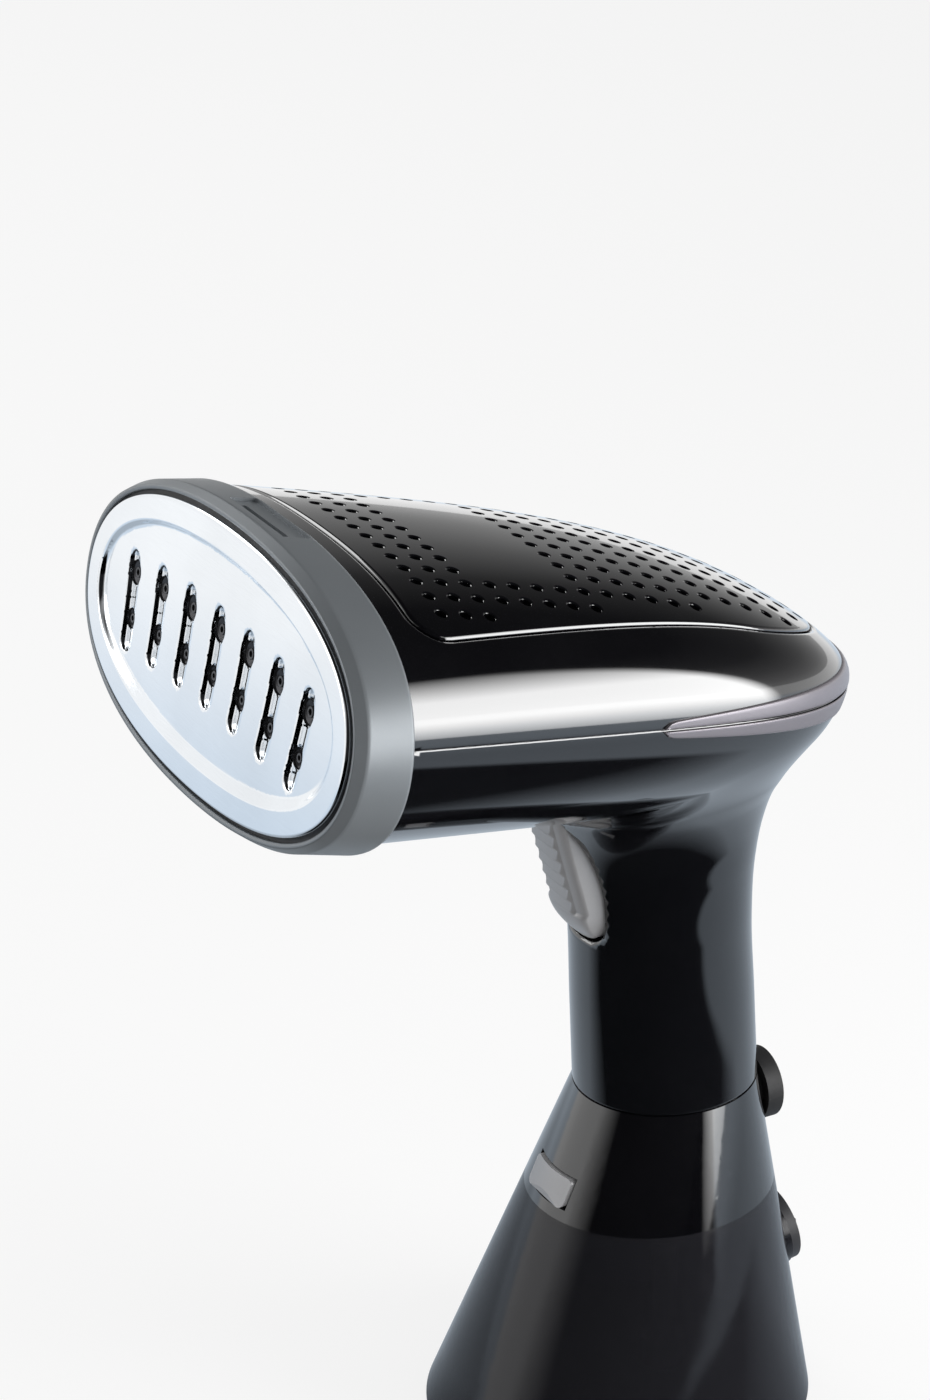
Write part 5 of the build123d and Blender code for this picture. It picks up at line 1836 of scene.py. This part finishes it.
class Bench:
    """Lays out the nodes of one material, world or lamp."""

    def __init__(self, tree: bpy.types.NodeTree) -> None:
        """Clears the tree to work in."""
        self.tree = tree
        tree.nodes.clear()

    def put(self, kind: str, settings: dict | None = None, inputs: dict | None = None) -> bpy.types.Node:
        """Adds a node.

        Args:
            kind: The node's type.
            settings: Its settings, with a ramp's stops under "stops".
            inputs: Values, sockets or strands for its sockets, by name or number.

        Returns:
            The node.
        """
        node = self.tree.nodes.new(kind)
        for name, value in (settings or {}).items():
            if name == "stops":
                ramp = node.color_ramp
                while len(ramp.elements) < len(value):
                    ramp.elements.new(0.5)
                for element, (place, colour) in zip(ramp.elements, value):
                    element.position = place
                    element.color = colour
            else:
                setattr(node, name, value)
        for name, value in (inputs or {}).items():
            socket = node.inputs[name]
            if isinstance(value, Strand):
                self.tree.links.new(value.socket, socket)
            elif isinstance(value, bpy.types.NodeSocket):
                self.tree.links.new(value, socket)
            else:
                socket.default_value = value
        return node

    def strand(
        self, kind: str, settings: dict | None = None, inputs: dict | None = None, out: int | str = 0
    ) -> Strand:
        """Adds a node and gives one of its outputs as a strand."""
        return Strand(self, self.put(kind, settings, inputs).outputs[out])

    def sum_up(self, way: str, first: "Strand | float", second: "Strand | float") -> Strand:
        """One step of arithmetic."""
        return self.strand("ShaderNodeMath", {"operation": way}, {0: first, 1: second})

    def ramp(self, value: Strand, low: float, high: float) -> Strand:
        """The value rescaled so that low gives 0 and high gives 1."""
        return self.strand("ShaderNodeMapRange", {}, {"Value": value, "From Min": low, "From Max": high})

    def dot(self, vector: Strand, way: tuple) -> Strand:
        """How far a vector reaches along a direction."""
        settings = {"operation": "DOT_PRODUCT"}
        return self.strand("ShaderNodeVectorMath", settings, {0: vector, 1: way}, out="Value")

    def noise(self, place: Strand, scale: float, detail: float, roughness: float = 0.5) -> Strand:
        """Even noise over a place."""
        inputs = {"Vector": place, "Scale": scale, "Detail": detail, "Roughness": roughness}
        return self.strand("ShaderNodeTexNoise", {}, inputs)

    def blend(self, share: "Strand | float", first: "Strand | tuple", second: "Strand | tuple") -> Strand:
        """Colour between two colours."""
        settings = {"data_type": "RGBA"}
        return self.strand("ShaderNodeMix", settings, {0: share, 6: first, 7: second}, out=2)


class Texture(Enum):
    """How a finish's surface is broken up."""

    GLOSS = "gloss"
    SATIN = "satin"
    BRUSHED = "brushed"
    RUBBER = "rubber"
    CAST = "cast"
    BRAID = "braid"


@dataclass(frozen=True)
class Finish:
    """One of the steamer's finishes, named after the record's slot."""

    slot: str
    colour: tuple[float, float, float]
    roughness: float
    texture: Texture
    metallic: float = 0.0
    specular: float = 0.5
    coat: float = 0.0
    transmission: float = 0.0
    variation: float = 0.06
    grain: float = 1500.0  # grain of the surface, per metre
    relief: float = 0.05  # strength of the bump
    wear: float = 0.06  # lighter along the edges

    def material(self) -> bpy.types.Material:
        """The finish's material, made once."""
        made = bpy.data.materials.get(self.name)
        return made or self._make()

    @property
    def name(self) -> str:
        """The material's name."""
        return f"{self.slot}_{self.texture.value}"

    def _make(self) -> bpy.types.Material:
        """Lays out the finish's nodes.

        Returns:
            The material.
        """
        material = bpy.data.materials.new(self.name)
        material.use_nodes = True
        bench = Bench(material.node_tree)
        place = bench.strand("ShaderNodeTexCoord", out="Object")
        broad = bench.noise(place, 28.0, 3.0)
        fine, depth = self._grain(bench, place)
        worn = bench.strand("ShaderNodeNewGeometry", out="Pointiness")
        edge = bench.ramp(worn, 0.52, 0.62)
        tone = bench.ramp(broad * 0.75 + fine * 0.25, 0.3, 0.7)
        low = tuple(c * (1 - self.variation) for c in self.colour) + (1.0,)
        high = tuple(min(c * (1 + self.variation) + 0.002, 1.0) for c in self.colour) + (1.0,)
        base = bench.blend(tone, low, high)
        light = tuple(min(c * 1.35 + 0.02, 1.0) for c in self.colour) + (1.0,)
        colour = bench.blend(edge * self.wear * 4, base, light)
        smear = bench.noise(place, 75.0, 4.0, 0.6)
        spread = 0.22 * self.roughness + 0.012
        rough = (smear - 0.5) * spread + (fine - 0.5) * spread + self.roughness + edge * self.wear
        bump = bench.strand(
            "ShaderNodeBump", {}, {"Strength": self.relief, "Distance": depth * MM, "Height": fine}
        )
        shader = bench.put(
            "ShaderNodeBsdfPrincipled",
            {},
            {
                "Base Color": colour,
                "Roughness": rough,
                "Metallic": self.metallic,
                "Specular IOR Level": self.specular,
                "Coat Weight": self.coat,
                "Coat Roughness": 0.04,
                "Transmission Weight": self.transmission,
                "Normal": bump,
            },
        )
        bench.put("ShaderNodeOutputMaterial", {}, {"Surface": shader.outputs[0]})
        return material

    def _grain(self, bench: Bench, place: Strand) -> tuple[Strand, float]:
        """The surface's fine pattern, and its depth in millimetres.

        Args:
            bench: The material's nodes.
            place: The place on the piece.

        Returns:
            The pattern and its depth.
        """
        if self.texture is Texture.BRUSHED:
            settings = {"operation": "MULTIPLY"}
            drawn = bench.strand("ShaderNodeVectorMath", settings, {0: place, 1: (0.03, 1.0, 1.0)})
            return bench.noise(drawn, self.grain, 2.0), 0.02
        if self.texture is Texture.CAST:
            cells = {"Vector": place, "Scale": self.grain * 0.6}
            pits = bench.strand("ShaderNodeTexVoronoi", {}, cells, out="Distance")
            return pits * 0.5 + bench.noise(place, self.grain, 5.0) * 0.5, 0.25
        if self.texture is Texture.BRAID:
            wave = {"Vector": place, "Scale": self.grain}
            warp = bench.strand("ShaderNodeTexWave", {}, wave)
            weft = bench.strand("ShaderNodeTexWave", {"bands_direction": "Z"}, wave)
            return warp * 0.5 + weft * 0.5, 0.2
        depth = {Texture.GLOSS: 0.02, Texture.SATIN: 0.04, Texture.RUBBER: 0.1}[self.texture]
        return bench.noise(place, self.grain, 3.0, 0.55), depth


FINISHES = {
    finish.slot: finish
    for finish in (
        Finish(
            "polished_steel", (0.84, 0.87, 0.90), 0.09, Texture.BRUSHED, metallic=1.0, grain=5000, relief=0.04
        ),
        Finish("black_rubber", (0.012, 0.012, 0.013), 0.55, Texture.RUBBER, grain=900, relief=0.3),
        Finish(
            "ring_grey", (0.235, 0.255, 0.272), 0.40, Texture.SATIN, metallic=0.3, grain=2600, relief=0.08
        ),
        Finish(
            "gloss_black",
            (0.0022, 0.0022, 0.0032),
            0.07,
            Texture.GLOSS,
            specular=0.8,
            coat=1.0,
            grain=260,
            relief=0.01,
            wear=0.002,
        ),
        Finish(
            "accent_silver", (0.22, 0.205, 0.225), 0.34, Texture.SATIN, metallic=0.5, grain=3200, relief=0.12
        ),
        Finish(
            "trigger_grey", (0.42, 0.42, 0.43), 0.32, Texture.SATIN, metallic=0.25, grain=2600, relief=0.1
        ),
        Finish(
            "smoke_tank", (0.05, 0.05, 0.06), 0.07, Texture.GLOSS, transmission=0.75, grain=220, relief=0.03
        ),
        Finish("dark_plastic", (0.03, 0.03, 0.034), 0.42, Texture.SATIN, grain=1800, relief=0.2),
        Finish("foot_rubber", (0.02, 0.02, 0.021), 0.7, Texture.RUBBER, grain=700, relief=0.4),
        Finish(
            "cast_aluminium", (0.55, 0.56, 0.57), 0.5, Texture.CAST, metallic=0.9, grain=900, relief=0.5
        ),
        Finish("sheet_steel", (0.6, 0.6, 0.61), 0.3, Texture.BRUSHED, metallic=1.0, grain=3000, relief=0.1),
        Finish("insulator", (0.72, 0.68, 0.58), 0.8, Texture.CAST, grain=1400, relief=0.3),
        Finish("fuse_body", (0.75, 0.7, 0.6), 0.45, Texture.SATIN, grain=1500, relief=0.2),
        Finish("coil_wrap", (0.45, 0.2, 0.06), 0.35, Texture.BRAID, metallic=0.4, grain=900, relief=0.4),
        Finish(
            "clear_hose", (0.8, 0.8, 0.78), 0.25, Texture.GLOSS, transmission=0.4, grain=400, relief=0.1
        ),
        Finish("white_plastic", (0.78, 0.78, 0.76), 0.4, Texture.SATIN, grain=1600, relief=0.15),
        Finish("filter_mesh", (0.55, 0.55, 0.53), 0.5, Texture.BRAID, metallic=0.3, grain=1200, relief=0.6),
        Finish("lead_cover", (0.6, 0.05, 0.04), 0.5, Texture.BRAID, grain=1500, relief=0.4),
    )
}
# The nozzles are the same casting as the heater and smoother; their near-black colour is painted shade deep
# in the steam wells.
NOZZLE_PAINTED_SHADE = Finish(
    "cast_aluminium", (0.06, 0.06, 0.065), 0.28, Texture.SATIN, metallic=0.7, grain=2400, relief=0.1
)


# ---------------- the room
@dataclass(frozen=True)
class Studio:
    """Pale floor, soft lights, plain surroundings and the camera. Lengths are in metres."""

    azimuth: float = 61.36
    elevation: float = 24.08
    eye: tuple[float, float, float] = (0.6377, -0.4039, 0.5262)
    lens: float = 90.98
    fill: float = 0.4  # strength of the light from all round
    floor_half: float = 9.0
    floor_glow: float = 1.04
    floor_share: float = 0.76  # how much of the floor's seen brightness is even
    cool: tuple[float, float, float, float] = (0.66, 0.75, 0.85, 1)  # painted cool reflection of the floor near by, seen only in mirrors
    cool_until: tuple[float, float] = (0.85, 1.3)
    sheet_front: tuple[float, float] = (-0.02, 0.06)  # where the painted dark sheet, seen only in mirrors, starts towards the viewer
    sheet_left: tuple[float, float] = (-0.29, -0.26)
    sheet_right: tuple[float, float] = (0.2, 0.22)
    # strength of the painted shade of the dark sheet, seen only in mirrors
    sheet_painted_shade: float = 0.6
    close_painted_shadow: float = 0.38  # painted shadow of the object on the floor, seen only in mirrors, beside the sheet
    close_until: tuple[float, float] = (0.34, 0.5)
    wedge_slope: float = 0.5  # the wedge of painted shade further away, seen only in mirrors
    overhead: tuple = ((0.0, 0.5), (0.07, 0.36), (0.2, 0.2), (0.36, 0.06), (0.52, 0.014), (1.0, 0.006))
    viewer_side: tuple[float, float] = (0.3, 0.7)
    left_side: tuple[float, float] = (-0.2, -0.35)
    left_top: tuple[float, float] = (0.6, 0.8)

    @property
    def facing(self) -> tuple[float, float, float]:
        """The level direction from the object towards the viewer."""
        turn = math.radians(self.azimuth)
        return (math.sin(turn), -math.cos(turn), 0.0)

    @property
    def beside(self) -> tuple[float, float, float]:
        """The level direction towards the viewer's right."""
        turn = math.radians(self.azimuth)
        return (math.cos(turn), math.sin(turn), 0.0)

    def build(self) -> None:
        """Sets the room up."""
        self._floor()
        self._surroundings()
        self._lamps()
        self._camera()

    def _floor(self) -> None:
        """A wide pale floor that keeps the object's shadow, with painted shade seen only in mirrors: a dark
        sheet, the object's painted shadow close by and a dark wedge further away.
        """
        half = self.floor_half
        mesh = bpy.data.meshes.new("floor")
        corners = [(-half, -half, 0), (half, -half, 0), (half, half, 0), (-half, half, 0)]
        mesh.from_pydata(corners, [], [(0, 1, 2, 3)])
        floor = bpy.data.objects.new("floor", mesh)
        bpy.context.scene.collection.objects.link(floor)
        material = bpy.data.materials.new("pale_floor")
        material.use_nodes = True
        bench = Bench(material.node_tree)
        ray = bench.put("ShaderNodeLightPath")
        mirror = Strand(bench, ray.outputs["Is Glossy Ray"])
        place = bench.strand("ShaderNodeTexCoord", out="Object")
        away = bench.strand("ShaderNodeVectorMath", {"operation": "LENGTH"}, {0: place}, out="Value")
        # painted cool reflection tint of the floor near the object, seen only in mirrors
        cool = (1.0 - bench.ramp(away, *self.cool_until)) * mirror
        tone = bench.blend(cool, (1, 1, 1, 1), self.cool)
        # painted shade and the object's painted shadow, seen only in mirrors
        tone = bench.blend(self._shade(bench, place, away) * mirror, tone, (0.0, 0.0, 0.0, 1))
        paint = bench.put("ShaderNodeBsdfDiffuse", {}, {"Color": (0.9, 0.9, 0.9, 1)})
        glow = bench.put("ShaderNodeEmission", {}, {"Color": tone, "Strength": self.floor_glow})
        share = self._seen(bench, ray) * self.floor_share + mirror * (1 - self.floor_share)
        mixed = bench.put("ShaderNodeMixShader", {}, {0: share, 1: paint.outputs[0], 2: glow.outputs[0]})
        bench.put("ShaderNodeOutputMaterial", {}, {"Surface": mixed.outputs[0]})
        mesh.materials.append(material)

    def _shade(self, bench: Bench, place: Strand, away: Strand) -> Strand:
        """Painted shade of the floor, seen only in mirrors.

        Args:
            bench: The floor's nodes.
            place: The place on the floor.
            away: Its distance from the object.

        Returns:
            The painted shade, from 0 to 1.
        """
        towards = bench.dot(place, self.facing)
        across = bench.dot(place, self.beside)
        sheet = bench.ramp(towards, *self.sheet_front) * bench.ramp(across, *self.sheet_left)
        sheet = sheet * (1.0 - bench.ramp(across, *self.sheet_right))
        close = 1.0 - bench.ramp(away, *self.close_until)
        wedge = bench.ramp(towards - away * self.wedge_slope, 0.0, 0.04)
        return (sheet * self.sheet_painted_shade + self.close_painted_shadow) * close + wedge * (1.0 - close)

    def _seen(self, bench: Bench, ray: bpy.types.Node) -> Strand:
        """1 for camera, mirror and see-through rays, 0 for the light that falls on things.

        Args:
            bench: The nodes.
            ray: The node that knows the kind of ray.

        Returns:
            1 or 0.
        """
        camera = Strand(bench, ray.outputs["Is Camera Ray"])
        mirror = Strand(bench, ray.outputs["Is Glossy Ray"])
        through = Strand(bench, ray.outputs["Is Transmission Ray"])
        return bench.strand("ShaderNodeClamp", {}, {"Value": camera + mirror + through})

    def _surroundings(self) -> None:
        """White all round, but in mirrors dark overhead and on the viewer's side."""
        world = bpy.data.worlds.new("studio")
        bpy.context.scene.world = world
        world.use_nodes = True
        bench = Bench(world.node_tree)
        ray = bench.put("ShaderNodeLightPath")
        mirror = Strand(bench, ray.outputs["Is Glossy Ray"])
        place = bench.strand("ShaderNodeTexCoord", out="Generated")
        height = bench.strand("ShaderNodeSeparateXYZ", {}, {0: place}, out="Z")
        stops = [(at, (tone, tone, tone, 1)) for at, tone in self.overhead]
        dusk = bench.strand("ShaderNodeValToRGB", {"stops": stops}, {"Fac": height})
        near = bench.ramp(bench.dot(place, self.facing), *self.viewer_side)
        left = bench.ramp(bench.dot(place, self.beside), *self.left_side)
        left = left * (1.0 - bench.ramp(height, *self.left_top))
        dark = bench.blend(near, bench.blend(left, dusk, (1, 1, 1, 1)), (0.012, 0.012, 0.013, 1))
        tone = bench.blend(mirror, (1, 1, 1, 1), dark)
        fill = bench.put("ShaderNodeBackground", {}, {"Color": (1, 1, 1, 1), "Strength": self.fill})
        sight = bench.put("ShaderNodeBackground", {}, {"Color": tone, "Strength": 1.0})
        inputs = {0: self._seen(bench, ray), 1: fill.outputs[0], 2: sight.outputs[0]}
        mixed = bench.put("ShaderNodeMixShader", {}, inputs)
        bench.put("ShaderNodeOutputWorld", {}, {"Surface": mixed.outputs[0]})

    def _lamps(self) -> None:
        """Soft boxes: one along the side, one in front and one over the back."""
        self._soft_box("side_box", (0.46, 0.40, 0.335), (0.05, -0.07, 0.335), (0.56, 0.66), 8.5, soft=True)
        self._soft_box("front_box", (-0.9, -1.5, 0.9), (0.0, -0.1, 0.2), (0.9, 0.9), 6.0)
        self._soft_box("rear_box", (-1.6, -0.3, 1.3), (0.0, 0.0, 0.2), (1.0, 0.6), 5.0)

    def _soft_box(
        self, name: str, place: tuple, aim: tuple, size: tuple, power: float, soft: bool = False
    ) -> None:
        """A rectangular soft light.

        Args:
            name: Its name.
            place: Where it stands, in metres.
            aim: The point it faces.
            size: Its width and height.
            power: Its power in watts.
            soft: Whether it fades towards its top and its sides.
        """
        lamp = bpy.data.lights.new(name, "AREA")
        lamp.shape = "RECTANGLE"
        lamp.size, lamp.size_y = size
        lamp.energy = power
        holder = bpy.data.objects.new(name, lamp)
        holder.location = place
        holder.rotation_euler = (Vector(aim) - Vector(place)).to_track_quat("-Z", "Y").to_euler()
        bpy.context.scene.collection.objects.link(holder)
        if not soft:
            return
        lamp.use_nodes = True
        bench = Bench(lamp.node_tree)
        spot = bench.strand("ShaderNodeNewGeometry", out="Parametric")
        parts = bench.put("ShaderNodeSeparateXYZ", {}, {0: spot})
        along = Strand(bench, parts.outputs["X"])
        up = Strand(bench, parts.outputs["Y"])
        fade = bench.ramp(along, 0.0, 0.3) * bench.ramp(1.0 - along, 0.0, 0.1)
        fade = fade * bench.ramp(1.0 - up, 0.0, 0.42) * (bench.ramp(up, 0.0, 0.25) * 0.7 + 0.3)
        light = bench.put("ShaderNodeEmission", {}, {"Color": (1, 1, 1, 1), "Strength": fade})
        bench.put("ShaderNodeOutputLight", {}, {"Surface": light.outputs[0]})

    def _camera(self) -> None:
        """The camera, which looks down along the viewing angle."""
        camera = bpy.data.cameras.new("camera")
        camera.lens = self.lens
        holder = bpy.data.objects.new("camera", camera)
        holder.location = self.eye
        holder.rotation_euler = (math.radians(90 - self.elevation), 0.0, math.radians(self.azimuth))
        bpy.context.scene.collection.objects.link(holder)
        bpy.context.scene.camera = holder


# ---------------- putting it together
def dress_solids() -> None:
    """Gives every solid carried over from the frame the finish of its slot."""
    for part in frame["record"]["subparts"]:
        node = frame["nodes"][part["node"]]
        node.data.materials.clear()
        node.data.materials.append(FINISHES[part["material_slot"]].material())
        log.info("%s: solid in %s", part["node"], part["material_slot"])


def main() -> None:
    """Builds the steamer piece by piece and sets up the room."""
    logging.basicConfig(level=logging.INFO, format="%(message)s")
    scene = bpy.context.scene
    scene.view_settings.view_transform = "Standard"
    dress_solids()
    plate = SteamPlate()
    plate.build(FINISHES["polished_steel"])
    # the nozzles' near-black finish is painted shade in the steam wells
    plate.build_nozzles(NOZZLE_PAINTED_SHADE)
    FrontRing().build(FINISHES["ring_grey"])
    UpperShell().build(FINISHES["gloss_black"])
    TopCover().build(FINISHES["gloss_black"])
    silver = FINISHES["accent_silver"]
    AccentStrip(upper=True).build(silver, "accent_upper_strip", "accent_upper")
    AccentStrip(upper=False, spread=4.2).build(silver, "accent_lower_strip", "accent_lower")
    LowerShell().build(FINISHES["gloss_black"])
    Trigger().build(FINISHES["trigger_grey"])
    Studio().build()


if __name__ == "__main__":
    main()
